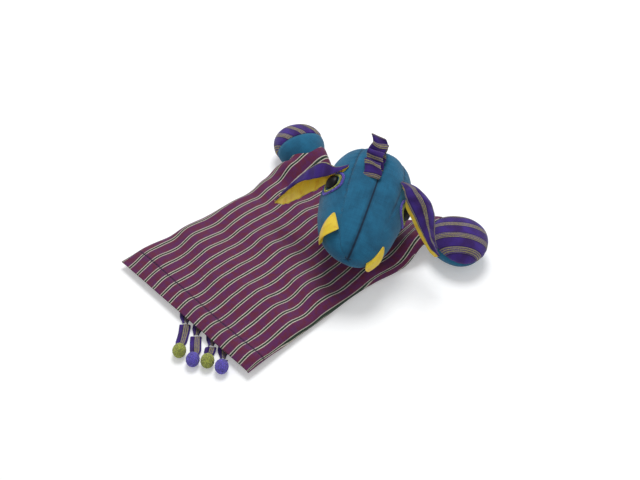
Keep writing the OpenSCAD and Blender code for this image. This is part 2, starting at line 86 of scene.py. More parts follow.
def clamp(x: float, lo: float = 0.0, hi: float = 1.0) -> float:
    """Keeps a number between two bounds."""
    return min(hi, max(lo, x))


def ease(t: float) -> float:
    """Smooth step from 0 to 1."""
    c = clamp(t)
    return c * c * (3 - 2 * c)


def turn_between(a: float, b: float) -> float:
    """The smallest turn between two angles, in degrees."""
    return abs((a - b + 180) % 360 - 180)


def side_name(side: int) -> str:
    """left or right."""
    return "left" if side < 0 else "right"


def lerp_table(table: Sequence[tuple[float, float]], x: float) -> float:
    """Smoothly interpolates a table of (x, value) pairs.

    Args:
        table: Pairs in rising order of x.
        x: Where to read it.

    Returns:
        The value at x, held constant past both ends.
    """
    if x <= table[0][0]:
        return table[0][1]
    for (x0, y0), (x1, y1) in zip(table, table[1:]):
        if x <= x1:
            return mix(y0, y1, ease((x - x0) / (x1 - x0)))
    return table[-1][1]


def catmull(points: Sequence[Sequence[float]], t: float) -> Vector:
    """A point on the smooth curve through some points.

    Args:
        points: The points that the curve passes through.
        t: Place along it, from 0 to 1.

    Returns:
        The point on the curve.
    """
    pts = [Vector(p) for p in points]
    n = len(pts) - 1
    k = min(n - 1, int(t * n))
    f = t * n - k
    p0, p1, p2 = pts[max(0, k - 1)], pts[k], pts[k + 1]
    p3 = pts[min(n, k + 2)]
    return 0.5 * ((2 * p1) + (p2 - p0) * f
                  + (2 * p0 - 5 * p1 + 4 * p2 - p3) * f * f
                  + (3 * p1 - p0 - 3 * p2 + p3) * f ** 3)


def ripple(p: Vector, size: float, height: float, seed: float = 0.0) -> float:
    """Smooth seeded noise of a given size and height, in millimetres."""
    return height * noise.noise(p / size + Vector((seed, seed * 0.7, 0)))


class Weave:
    """Names of the point attributes that patterns follow."""
    COORD = "cloth_mm"
    SEAM = "seam_mm"


def grid_mesh(rows: int, cols: int, place: Point,
              coord: Point | None = None) -> bmesh.types.BMesh:
    """Bends a square grid into a sheet.

    Args:
        rows: Faces along the sheet.
        cols: Faces across it.
        place: Gives a vertex's place from its (across, along), each 0 to 1.
        coord: Gives its cloth coordinates in millimetres in the same way.

    Returns:
        The bmesh, in millimetres.
    """
    bm = bmesh.new()
    bmesh.ops.create_grid(bm, x_segments=cols, y_segments=rows, size=0.5)
    layer = bm.verts.layers.float_vector.new(Weave.COORD)
    for v in bm.verts:
        a, b = clamp(v.co.x + 0.5), clamp(v.co.y + 0.5)
        if coord:
            v[layer] = coord(a, b)
        v.co = place(a, b)
    return bm


def sphere_mesh(around: int, along: int, place: Point,
                coord: Point | None = None) -> bmesh.types.BMesh:
    """Reshapes a sphere whose poles lie at the ends of a piece.

    Args:
        around: Faces around the piece.
        along: Faces from pole to pole.
        place: Place from (angle from the first pole, angle around), degrees.
        coord: Cloth coordinates in millimetres, in the same way.

    Returns:
        The bmesh, in millimetres.
    """
    bm = bmesh.new()
    bmesh.ops.create_uvsphere(bm, u_segments=around, v_segments=along,
                              radius=1)
    layer = bm.verts.layers.float_vector.new(Weave.COORD)
    for v in bm.verts:
        phi = math.degrees(math.acos(clamp(v.co.z, -1)))
        theta = math.degrees(math.atan2(v.co.y, v.co.x)) % 360
        if coord:
            v[layer] = coord(phi, theta)
        v.co = place(phi, theta)
    return bm


def add_object(name: str, data: bpy.types.ID) -> bpy.types.Object:
    """Links new data to the scene as an object at the origin.

    Args:
        name: The object's name.
        data: Its mesh, curve, lamp or camera.

    Returns:
        The object.
    """
    obj = bpy.data.objects.new(name, data)
    bpy.context.scene.collection.objects.link(obj)
    return obj


def to_mesh(bm: bmesh.types.BMesh, name: str) -> bpy.types.Mesh:
    """Turns a bmesh into a smoothly shaded mesh, and frees it.

    Args:
        bm: The bmesh.
        name: The mesh's name.

    Returns:
        The mesh.
    """
    mesh = bpy.data.meshes.new(name)
    bm.to_mesh(mesh)
    bm.free()
    for p in mesh.polygons:
        p.use_smooth = True
    return mesh


def finish_mesh(bm: bmesh.types.BMesh, name: str,
                recalc: bool = False) -> bpy.types.Object:
    """Scales a bmesh to metres and links it as an object at the origin.

    Args:
        bm: The mesh, in millimetres. It is freed.
        name: The piece's name.
        recalc: Whether to turn the faces outwards first.

    Returns:
        The new object.
    """
    if recalc:
        bmesh.ops.recalc_face_normals(bm, faces=bm.faces)
    bmesh.ops.scale(bm, vec=(MM, MM, MM), verts=bm.verts)
    return add_object(name, to_mesh(bm, name))


def thicken(obj: bpy.types.Object, thickness: float,
            offset: float = -1.0) -> None:
    """Adds a Solidify modifier of a thickness in millimetres.

    Args:
        obj: The sheet.
        thickness: The cloth's thickness.
        offset: Which side of the sheet it lies on; 0 is both.
    """
    m = obj.modifiers.new("cloth", "SOLIDIFY")
    m.thickness = thickness * MM
    m.offset = offset
    m.use_even_offset = False


def subdivide(obj: bpy.types.Object) -> None:
    """Adds a Subdivision Surface modifier of one level."""
    m = obj.modifiers.new("smooth", "SUBSURF")
    m.levels = m.render_levels = 1


def apply_modifiers(obj: bpy.types.Object) -> None:
    """Applies an object's modifiers to its mesh.

    Args:
        obj: The object.
    """
    dg = bpy.context.evaluated_depsgraph_get()
    mesh = bpy.data.meshes.new_from_object(obj.evaluated_get(dg))
    obj.modifiers.clear()
    obj.data = mesh


def sew(obj: bpy.types.Object, thickness: float,
        offset: float = -1.0) -> bpy.types.Object:
    """Makes soft cloth of a sheet.

    Args:
        obj: The sheet.
        thickness: The cloth's thickness, in millimetres.
        offset: Which side of the sheet it lies on; 0 is both.

    Returns:
        The same object.
    """
    thicken(obj, thickness, offset)
    subdivide(obj)
    apply_modifiers(obj)
    return obj


def loop_of_yarn(points: Sequence[Vector], radius: float,
                 name: str) -> bpy.types.Object:
    """Sweeps a round yarn along a closed line.

    Args:
        points: The yarn's centre line, in millimetres.
        radius: Its radius, in millimetres.
        name: The piece's name.

    Returns:
        The yarn as a mesh object.
    """
    curve = bpy.data.curves.new(name, "CURVE")
    curve.dimensions = "3D"
    curve.bevel_depth = radius * MM
    curve.bevel_resolution = 2
    spline = curve.splines.new("POLY")
    spline.points.add(len(points) - 1)
    for sp, p in zip(spline.points, points):
        sp.co = (p.x * MM, p.y * MM, p.z * MM, 1)
    spline.use_cyclic_u = True
    line = add_object(name + "_line", curve)
    dg = bpy.context.evaluated_depsgraph_get()
    mesh = bpy.data.meshes.new_from_object(line.evaluated_get(dg))
    bpy.data.objects.remove(line)
    for p in mesh.polygons:
        p.use_smooth = True
    return add_object(name, mesh)


def join(objs: Sequence[bpy.types.Object], name: str) -> bpy.types.Object:
    """Joins mesh objects at the origin into one.

    Args:
        objs: The objects, which are removed.
        name: The name of the joined piece.

    Returns:
        The joined object.
    """
    bm = bmesh.new()
    for o in objs:
        bm.from_mesh(o.data)
        bpy.data.objects.remove(o)
    return add_object(name, to_mesh(bm, name))


# -------------------------------------------------------------- materials
class Slot(Enum):
    """Names of material slots, passed to dress but not given to the pieces."""
    PLUM = "plum_cloth"
    TEAL = "teal_linen"
    STRIPE = "violet_stripe"
    SATIN = "yellow_satin"
    OLIVE = "olive_crochet"
    VIOLET = "violet_crochet"


def srgb(colour: Colour) -> tuple[float, ...]:
    """Linear colour from sRGB bytes.

    Args:
        colour: The three bytes.

    Returns:
        Red, green, blue and an alpha of 1.
    """
    def lin(c: float) -> float:
        """Linear value of one byte."""
        c /= 255
        return c / 12.92 if c < 0.04045 else ((c + 0.055) / 1.055) ** 2.4
    return (*(lin(c) for c in colour), 1.0)


@dataclass(frozen=True)
class Signal:
    """A socket of a node tree that takes part in sums."""
    wiring: "Wiring"
    socket: bpy.types.NodeSocket

    def __add__(self, other: "Signal | float") -> "Signal":
        """Adds."""
        return self.wiring.math("ADD", self, other)

    def __sub__(self, other: "Signal | float") -> "Signal":
        """Subtracts."""
        return self.wiring.math("SUBTRACT", self, other)

    def __mul__(self, other: "Signal | float") -> "Signal":
        """Multiplies."""
        return self.wiring.math("MULTIPLY", self, other)

    def __truediv__(self, other: "Signal | float") -> "Signal":
        """Divides."""
        return self.wiring.math("DIVIDE", self, other)

    def __abs__(self) -> "Signal":
        """Drops the sign."""
        return self.wiring.math("ABSOLUTE", self)


class Wiring:
    """Short calls for building one node tree."""

    def __init__(self, tree: bpy.types.NodeTree) -> None:
        """Keeps the tree."""
        self.tree = tree

    def node(self, kind: str, **values: object) -> bpy.types.Node:
        """Adds a node of a type, and sets its properties.

        Args:
            kind: Its type.
            values: Its properties.

        Returns:
            The node.
        """
        n = self.tree.nodes.new(kind)
        for k, v in values.items():
            setattr(n, k, v)
        return n

    def put(self, socket: bpy.types.NodeSocket, value: object) -> None:
        """Links a signal to a socket, or sets its constant.

        Args:
            socket: The socket.
            value: A signal or a constant.
        """
        if isinstance(value, Signal):
            self.tree.links.new(value.socket, socket)
        else:
            socket.default_value = value

    def out(self, node: bpy.types.Node, key: str | int = 0) -> Signal:
        """One output of a node."""
        return Signal(self, node.outputs[key])

    def math(self, op: str, a: object, b: object = 0.0) -> Signal:
        """Adds a Math node.

        Args:
            op: The operation.
            a: Its first input.
            b: Its second input, if it has one.

        Returns:
            The result.
        """
        n = self.node("ShaderNodeMath", operation=op)
        self.put(n.inputs[0], a)
        self.put(n.inputs[1], b)
        return self.out(n)

    def ramp(self, x: object, lo: float, hi: float, a: float = 0.0,
             b: float = 1.0) -> Signal:
        """Smoothly maps x from lo..hi to a..b.

        Args:
            x: What is mapped.
            lo: Where it starts.
            hi: Where it ends.
            a: The result at lo.
            b: The result at hi.

        Returns:
            The result.
        """
        n = self.node("ShaderNodeMapRange", interpolation_type="SMOOTHSTEP")
        for k, v in enumerate((x, lo, hi, a, b)):
            self.put(n.inputs[k], v)
        return self.out(n)

    def fade(self, x: object, lo: float, hi: float) -> Signal:
        """Smoothly falls from 1 at lo to 0 at hi."""
        return self.ramp(x, lo, hi, 1.0, 0.0)

    def blend(self, f: object, a: object, b: object,
              mode: str = "MIX") -> Signal:
        """Blends two colours by a factor.

        Args:
            f: The factor.
            a: The colour at 0.
            b: The colour at 1.
            mode: How they mix.

        Returns:
            The colour.
        """
        n = self.node("ShaderNodeMix", data_type="RGBA", blend_type=mode)
        for k, v in ((0, f), (6, a), (7, b)):
            self.put(n.inputs[k], v)
        return self.out(n, 2)

    def toned(self, colour: object, tone: Signal) -> Signal:
        """Multiplies a colour by a grey tone.

        Args:
            colour: The colour.
            tone: The grey, from 0 to 1.

        Returns:
            The colour.
        """
        n = self.node("ShaderNodeCombineXYZ")
        for s in n.inputs:
            self.put(s, tone)
        return self.blend(1.0, colour, self.out(n), "MULTIPLY")

    def noise(self, vec: Signal, scale: float, detail: float = 2.0,
              rough: float = 0.5) -> Signal:
        """Adds a noise texture.

        Args:
            vec: The place.
            scale: Its scale, per unit of the place.
            detail: How many finer layers it has.
            rough: How strong they are.

        Returns:
            A signal from 0 to 1.
        """
        n = self.node("ShaderNodeTexNoise")
        for k, v in (("Vector", vec), ("Scale", scale), ("Detail", detail),
                     ("Roughness", rough)):
            self.put(n.inputs[k], v)
        return self.out(n)

    def attribute(self, name: str, key: str) -> Signal:
        """Reads a point attribute of the mesh."""
        return self.out(self.node("ShaderNodeAttribute",
                                  attribute_name=name), key)

    def split(self, vec: Signal) -> list[Signal]:
        """The three components of a vector.

        Args:
            vec: The vector.

        Returns:
            X, Y and Z.
        """
        n = self.node("ShaderNodeSeparateXYZ")
        self.put(n.inputs[0], vec)
        return [self.out(n, k) for k in range(3)]

    def stretch(self, vec: Signal, by: Sequence[float]) -> Signal:
        """Multiplies a vector, component by component.

        Args:
            vec: The vector.
            by: The factors.

        Returns:
            The vector.
        """
        n = self.node("ShaderNodeVectorMath", operation="MULTIPLY")
        self.put(n.inputs[0], vec)
        self.put(n.inputs[1], by)
        return self.out(n)

    def group(self, tree: bpy.types.NodeTree,
              **values: object) -> bpy.types.Node:
        """Places a shared node group, and feeds its inputs.

        Args:
            tree: The group.
            values: Its inputs by name.

        Returns:
            The group's node.
        """
        n = self.node("ShaderNodeGroup", node_tree=tree)
        for k, v in values.items():
            self.put(n.inputs[k], v)
        return n

    def bump(self, shader: bpy.types.Node, height: Signal,
             relief: float) -> None:
        """Feeds a height to the shader's normal.

        Args:
            shader: The shader.
            height: The height.
            relief: How far a height of 1 stands out, in millimetres.
        """
        b = self.node("ShaderNodeBump")
        for k, v in (("Strength", 1.0), ("Distance", relief * MM),
                     ("Height", height)):
            self.put(b.inputs[k], v)
        self.put(shader.inputs["Normal"], self.out(b))


def new_group(name: str, ins: dict[str, float | None],
              outs: Sequence[str]) -> tuple[Wiring, dict, bpy.types.Node]:
    """Starts a node group.

    Args:
        name: Its name.
        ins: The default of each input, or None for a vector.
        outs: The names of its outputs.

    Returns:
        Its wiring, its inputs by name and its output node.
    """
    tree = bpy.data.node_groups.new(name, "ShaderNodeTree")
    for key, value in ins.items():
        kind = "NodeSocketVector" if value is None else "NodeSocketFloat"
        s = tree.interface.new_socket(key, in_out="INPUT", socket_type=kind)
        if value is not None:
            s.default_value = value
    for key in outs:
        tree.interface.new_socket(key, in_out="OUTPUT",
                                  socket_type="NodeSocketFloat")
    w = Wiring(tree)
    gi = w.node("NodeGroupInput")
    return w, {k: w.out(gi, k) for k in ins}, w.node("NodeGroupOutput")


@cache
def plain_weave() -> bpy.types.NodeTree:
    """Builds the plain weave of over and under threads.

    Returns:
        A group from cloth coordinates in millimetres to Height and Tone; Tone
        holds the slubs' own tone and painted shade in the weave's dips.
    """
    w, ins, out = new_group(
        "plain_weave", {"Cloth": None, "Thread": 0.5, "Slub": 0.5},
        ("Height", "Tone"))
    x, y, _ = w.split(ins["Cloth"])
    freq = w.math("DIVIDE", math.pi, ins["Thread"])
    height = w.ramp(w.math("SINE", x * freq) * w.math("SINE", y * freq),
                    -1.0, 1.0)
    slub = (w.noise(w.stretch(ins["Cloth"], (2.2, 0.06, 1)), 1.0)
            + w.noise(w.stretch(ins["Cloth"], (0.06, 2.2, 1)), 1.0))
    slub = (slub - 1.0) * ins["Slub"]
    w.put(out.inputs["Height"], height + slub * 1.5)
    # Tone: the slub term is the yarn's own uneven tone; the height term is
    # painted shade, darker where the threads dip under.
    w.put(out.inputs["Tone"], slub + 0.86 + height * 0.14)
    return w.tree


@cache
def bands() -> bpy.types.NodeTree:
    """Builds parallel bands at a pitch.

    Returns:
        A group from a coordinate in millimetres to the Distance from the
        nearest band's middle.
    """
    w, ins, out = new_group("bands", {"Across": 0.0, "Pitch": 11.3},
                            ("Distance",))
    part = w.math("FRACT", ins["Across"] / ins["Pitch"])
    w.put(out.inputs[0], abs(part - 0.5) * ins["Pitch"])
    return w.tree


@cache
def stitches() -> bpy.types.NodeTree:
    """Builds a row of sewn stitches along a line.

    Returns:
        A group from the distance Off the line and the place Along it to a
        Thread mask and a Pucker mask.
    """
    w, ins, out = new_group(
        "stitches", {"Off": 0.0, "Along": 0.0, "Length": 3.2},
        ("Thread", "Pucker"))
    off = abs(ins["Off"])
    part = w.math("FRACT", ins["Along"] / ins["Length"])
    dash = w.fade(abs(part - 0.5), 0.30, 0.38)
    w.put(out.inputs["Thread"], w.fade(off, 0.25, 0.5) * dash)
    w.put(out.inputs["Pucker"], w.fade(off, 0.2, 1.6))
    return w.tree


def new_material(name: str, look: dict[str, object]) -> tuple[
        bpy.types.Material, Wiring, bpy.types.Node]:
    """Starts a material.

    Args:
        name: Its name.
        look: Values of its shader's inputs.

    Returns:
        The material, its wiring and its shader.
    """
    mat = bpy.data.materials.new(name)
    mat.use_nodes = True
    w = Wiring(mat.node_tree)
    shader = mat.node_tree.nodes["Principled BSDF"]
    for key, value in look.items():
        w.put(shader.inputs[key], value)
    return mat, w, shader


@dataclass(frozen=True)
class Cloth:
    """What every cloth finish shares."""
    name: str
    colour: Colour
    thread: float = 0.55
    slub: float = 0.35
    relief: float = 0.12
    roughness: float = 0.88
    gloss: float = 0.25

    def pattern(self, w: Wiring, cloth: Signal) -> tuple[Signal, Signal]:
        """Lays out the finish's own pattern.

        Args:
            w: The material's wiring.
            cloth: Cloth coordinates in millimetres.

        Returns:
            The colour, and the height that it adds to the weave.
        """
        raise NotImplementedError

    def build(self) -> bpy.types.Material:
        """Returns the finished material.

        Returns:
            The material.
        """
        mat, w, shader = new_material(self.name, {
            "Roughness": self.roughness, "Sheen Weight": 0.15,
            "Sheen Roughness": 0.5, "Specular IOR Level": self.gloss})
        cloth = w.attribute(Weave.COORD, "Vector")
        weave = w.group(plain_weave(), Cloth=cloth, Thread=self.thread,
                        Slub=self.slub)
        colour, height = self.pattern(w, cloth)
        w.put(shader.inputs["Base Color"],
              w.toned(colour, w.out(weave, "Tone")))
        w.bump(shader, w.out(weave, "Height") + height, self.relief)
        return mat


@dataclass(frozen=True)
class PinstripeCloth(Cloth):
    """Plum cloth with pairs of cream lines and a sewn hem."""
    faded: Colour = (108, 40, 68)
    cream: Colour = (224, 218, 202)
    green: Colour = (42, 62, 48)
    # shade: painted shade for the pucker along the hem's stitch line
    shade: Colour = (50, 20, 45)
    stitch: Colour = (32, 26, 66)
    pitch: float = 11.3
    hem_line: float = 17.0

    def pattern(self, w: Wiring, cloth: Signal) -> tuple[Signal, Signal]:
        """Lays a dark line between two cream ones, and the hem's stitches with
        painted shade in their pucker.

        Args:
            w: The material's wiring.
            cloth: Cloth coordinates in millimetres.

        Returns:
            The colour, and the height that it adds to the weave.
        """
        x, y, _ = w.split(cloth)
        wobble = (w.noise(cloth, 0.05, 1.0) - 0.5) * 1.2
        d = w.out(w.group(bands(), Across=x + wobble, Pitch=self.pitch))
        d = d + (w.noise(cloth, 1.6) - 0.5) * 0.35
        worn = w.ramp(w.noise(cloth, 0.9, 3.0, 0.7), 0.3, 0.6, 0.62, 1.0)
        cream = w.ramp(d, 0.75, 0.95) * w.fade(d, 1.4, 1.65) * worn
        patchy = w.ramp(w.noise(cloth, 0.16, 4.0, 0.7), 0.38, 0.62)
        colour = w.blend(patchy, srgb(self.colour), srgb(self.faded))
        colour = w.blend(w.fade(d, 0.75, 1.0), colour, srgb(self.green))
        colour = w.blend(cream, colour, srgb(self.cream))
        row = w.group(stitches(), Off=y - self.hem_line, Along=x)
        pucker = w.out(row, "Pucker")
        # Painted shade: the cloth darkens along the hem's stitch line, where
        # the pucker sinks it.
        colour = w.blend(pucker * 0.45, colour, srgb(self.shade))
        colour = w.blend(w.out(row, "Thread"), colour, srgb(self.stitch))
        return colour, pucker * -3.0


@dataclass(frozen=True)
class BandedCloth(Cloth):
    """Violet cloth with bands of olive-gold threads."""
    faded: Colour = (58, 30, 100)
    gold: Colour = (172, 164, 98)
    # shade: painted shade along the foot of the raised gold bands
    shade: Colour = (30, 18, 48)
    pitch: float = 12.6
    band: float = 2.3
    thread_pitch: float = 1.45

    def pattern(self, w: Wiring, cloth: Signal) -> tuple[Signal, Signal]:
        """Lays gold bands of single threads, with painted shade in a dark line
        beside them.

        Args:
            w: The material's wiring.
            cloth: Cloth coordinates in millimetres.

        Returns:
            The colour, and the height that it adds to the weave.
        """
        x = w.split(cloth)[0]
        d = w.out(w.group(bands(), Across=x, Pitch=self.pitch))
        fine = w.math("SINE", x * (2 * math.pi / self.thread_pitch))
        flecks = w.ramp(w.noise(cloth, 1.3), 0.42, 0.56, 0.45, 1.0)
        mask = w.fade(d, self.band - 0.25, self.band + 0.1) * w.ramp(
            fine, -0.6, 0.1, 0.08, 1.0) * flecks
        # Painted shade: a thin dark line just outside each raised gold band.
        edge = w.ramp(d, self.band, self.band + 0.2) * w.fade(
            d, self.band + 0.6, self.band + 0.9)
        patchy = w.ramp(w.noise(cloth, 0.08), 0.3, 0.7)
        colour = w.blend(patchy, srgb(self.colour), srgb(self.faded))
        colour = w.blend(edge * 0.6, colour, srgb(self.shade))
        return w.blend(mask, colour, srgb(self.gold)), mask * 0.8


@dataclass(frozen=True)
class LinenCloth(Cloth):
    """Teal linen with slubs, dark seams and painted shade beside them."""
    deep: Colour = (28, 92, 126)
    # shade: painted shade in the sunken cloth beside each seam
    shade: Colour = (20, 58, 84)
    seam: Colour = (16, 30, 52)

    def pattern(self, w: Wiring, cloth: Signal) -> tuple[Signal, Signal]:
        """Darkens and sinks the cloth along its seams: the thin dark line is
        the seam itself, and the wider darkening is painted shade.

        Args:
            w: The material's wiring.
            cloth: Cloth coordinates in millimetres.

        Returns:
            The colour, and the height that it adds to the weave.
        """
        off = abs(w.attribute(Weave.SEAM, "Fac"))
        soft = w.fade(off, 0.3, 2.2)
        patchy = w.ramp(w.noise(cloth, 0.06, 3.0, 0.6), 0.3, 0.72)
        colour = w.blend(patchy, srgb(self.colour), srgb(self.deep))
        # Painted shade: the cloth darkens where it sinks towards a seam.
        colour = w.blend(soft * 0.35, colour, srgb(self.shade))
        colour = w.blend(w.fade(off, 0.2, 0.6) * 0.85, colour,
                         srgb(self.seam))
        return colour, soft * -2.5


@dataclass(frozen=True)
class SatinCloth(Cloth):
    """Bright satin with soft creases."""
    thread: float = 0.3
    slub: float = 0.1
    relief: float = 0.1
    roughness: float = 0.42
    gloss: float = 0.5
    warm: Colour = (238, 178, 28)

    def pattern(self, w: Wiring, cloth: Signal) -> tuple[Signal, Signal]:
        """Lays warm patches and soft creases.

        Args:
            w: The material's wiring.
            cloth: Cloth coordinates in millimetres.

        Returns:
            The colour, and the height that it adds to the weave.
        """
        warm = w.ramp(w.noise(cloth, 0.16, 3.0, 0.6), 0.48, 0.76)
        colour = w.blend(warm, srgb(self.colour), srgb(self.warm))
        return colour, w.noise(cloth, 0.22) * 8.0


@dataclass(frozen=True)
class CrochetYarn:
    """Crocheted cotton yarn, with painted shade between its loops."""
    name: str
    colour: Colour
    # shade: painted shade in the gaps between the loops
    shade: Colour = (40, 44, 20)

    def build(self) -> bpy.types.Material:
        """Returns the finished material.

        Returns:
            The material.
        """
        mat, w, shader = new_material(self.name, {
            "Roughness": 0.88, "Sheen Weight": 0.3})
        mm = w.stretch(w.out(w.node("ShaderNodeTexCoord"), "Object"),
                       (1 / MM, 1 / MM, 1 / MM))
        loops = w.node("ShaderNodeTexVoronoi", feature="DISTANCE_TO_EDGE")
        w.put(loops.inputs["Vector"], mm)
        w.put(loops.inputs["Scale"], 0.75)
        gap = w.fade(w.out(loops), 0.02, 0.15)
        tone = w.ramp(w.noise(mm, 1.1, 3.0), 0.3, 0.7, 0.8, 1.1)
        # Painted shade: the yarn darkens in the gaps between its loops.
        w.put(shader.inputs["Base Color"], w.blend(
            gap * 0.6, w.toned(srgb(self.colour), tone), srgb(self.shade)))
        ply = w.math("SINE", w.noise(mm, 1.5, 1.0) * 30.0)
        w.bump(shader, gap * -3.0 + ply * 0.5, 0.16)
        return mat


@dataclass(frozen=True)
class GlossButton:
    """Black glossy eye button with fine scuffs."""
    name: str
    colour: Colour = (12, 12, 15)
    scuff: Colour = (18, 18, 22)

    def build(self) -> bpy.types.Material:
        """Returns the finished material.

        Returns:
            The material.
        """
        mat, w, shader = new_material(self.name,
                                      {"Specular IOR Level": 0.22})
        n = w.noise(w.out(w.node("ShaderNodeTexCoord"), "Object"), 900.0,
                    3.0)
        w.put(shader.inputs["Base Color"], w.blend(
            w.ramp(n, 0.4, 0.7), srgb(self.colour), srgb(self.scuff)))
        w.put(shader.inputs["Roughness"], w.ramp(n, 0.3, 0.7, 0.34, 0.5))
        return mat


class Finishes:
    """Builds each finish once."""

    def __init__(self) -> None:
        """Builds every material of the puppet."""
        self.plum = PinstripeCloth("plum_pinstripe", (99, 41, 93)).build()
        self.plain_plum = PinstripeCloth(
            "plum_neck", (96, 34, 74), hem_line=-500.0).build()
        self.teal = LinenCloth("teal_linen", (34, 112, 150), 0.6,
                               0.45).build()
        self.band = BandedCloth("violet_band", (72, 46, 146)).build()
        self.pleats = BandedCloth("comb_band", (66, 42, 132), pitch=9.4,
                                  band=1.7).build()
        self.satin = SatinCloth("yellow_satin", (255, 221, 52)).build()
        self.olive = CrochetYarn("olive_crochet", (208, 219, 88)).build()
        # The third colour is the violet yarn's painted shade between its
        # loops.
        self.violet = CrochetYarn("violet_crochet", (122, 104, 245),
                                  (34, 26, 90)).build()
        self.button = GlossButton("black_button").build()


def dress(obj: bpy.types.Object, material: bpy.types.Material, slot: Slot,
          body: str | None = None, *nodes: str) -> bpy.types.Object:
    """Gives a piece its finish, its body and its nodes.

    Args:
        obj: The piece.
        material: Its finish.
        slot: Not used.
        body: The body it rides on, or None to leave it on no body.
        nodes: The frame's nodes that it stands for.

    Returns:
        The piece.
    """
    obj.data.materials.clear()
    obj.data.materials.append(material)
    if body:
        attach(obj, body)
    if nodes:
        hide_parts(*nodes)
    log.info("%s: %d faces", obj.name, len(obj.data.polygons))
    return obj


# -------------------------------------------------------------------- arms
@dataclass
class ArmFrame:
    """Where one arm and its paw lie, in millimetres."""
    side: int
    shoulder: Vector
    sleeve_len: float
    arm_angle: float
    paw_angle: float
    gap: float
    paw_len: float = 54.0
    paw_w: float = 47.0
    paw_t: float = 38.0
    cuff_back: float = 17.0
    cuff_w: float = 20.0
    cuff_h: float = 12.0

    @property
    def name(self) -> str:
        """left or right."""
        return side_name(self.side)

    @property
    def end(self) -> Vector:
        """The sleeve's end on the table plane.

        Returns:
            The point, in millimetres.
        """
        a = self.arm_angle
        return self.shoulder + self.sleeve_len * Vector(
            (self.side * cosd(a), sind(a), 0))

    @property
    def dir(self) -> Vector:
        """The paw's direction."""
        return Vector((self.side * cosd(self.paw_angle),
                       sind(self.paw_angle), 0))

    @property
    def perp(self) -> Vector:
        """Across the paw, towards the hem."""
        d = self.dir
        return Vector((d.y * self.side, -d.x * self.side, 0))

    @property
    def centre(self) -> Vector:
        """The paw's centre."""
        return (self.end + self.dir * (self.paw_len / 2 + self.gap)
                + Vector((0, 0, self.paw_t / 2)))

    @property
    def cuff(self) -> Vector:
        """The centre of the cuff's open edge."""
        return self.centre - self.dir * self.cuff_back

    def corner(self, across: float) -> Vector:
        """A point of the cuff's edge, on the table plane."""
        c = self.cuff + self.perp * across
        return Vector((c.x, c.y, 0))


LEFT_ARM = ArmFrame(-1, Vector((-47, 54, 0)), 11.2, 38, 19, 0.3)
RIGHT_ARM = ArmFrame(1, Vector((53, 54, 0)), 35, 38, 14, 0.35,
                     cuff_back=22.5, cuff_w=17.0, cuff_h=10.5)


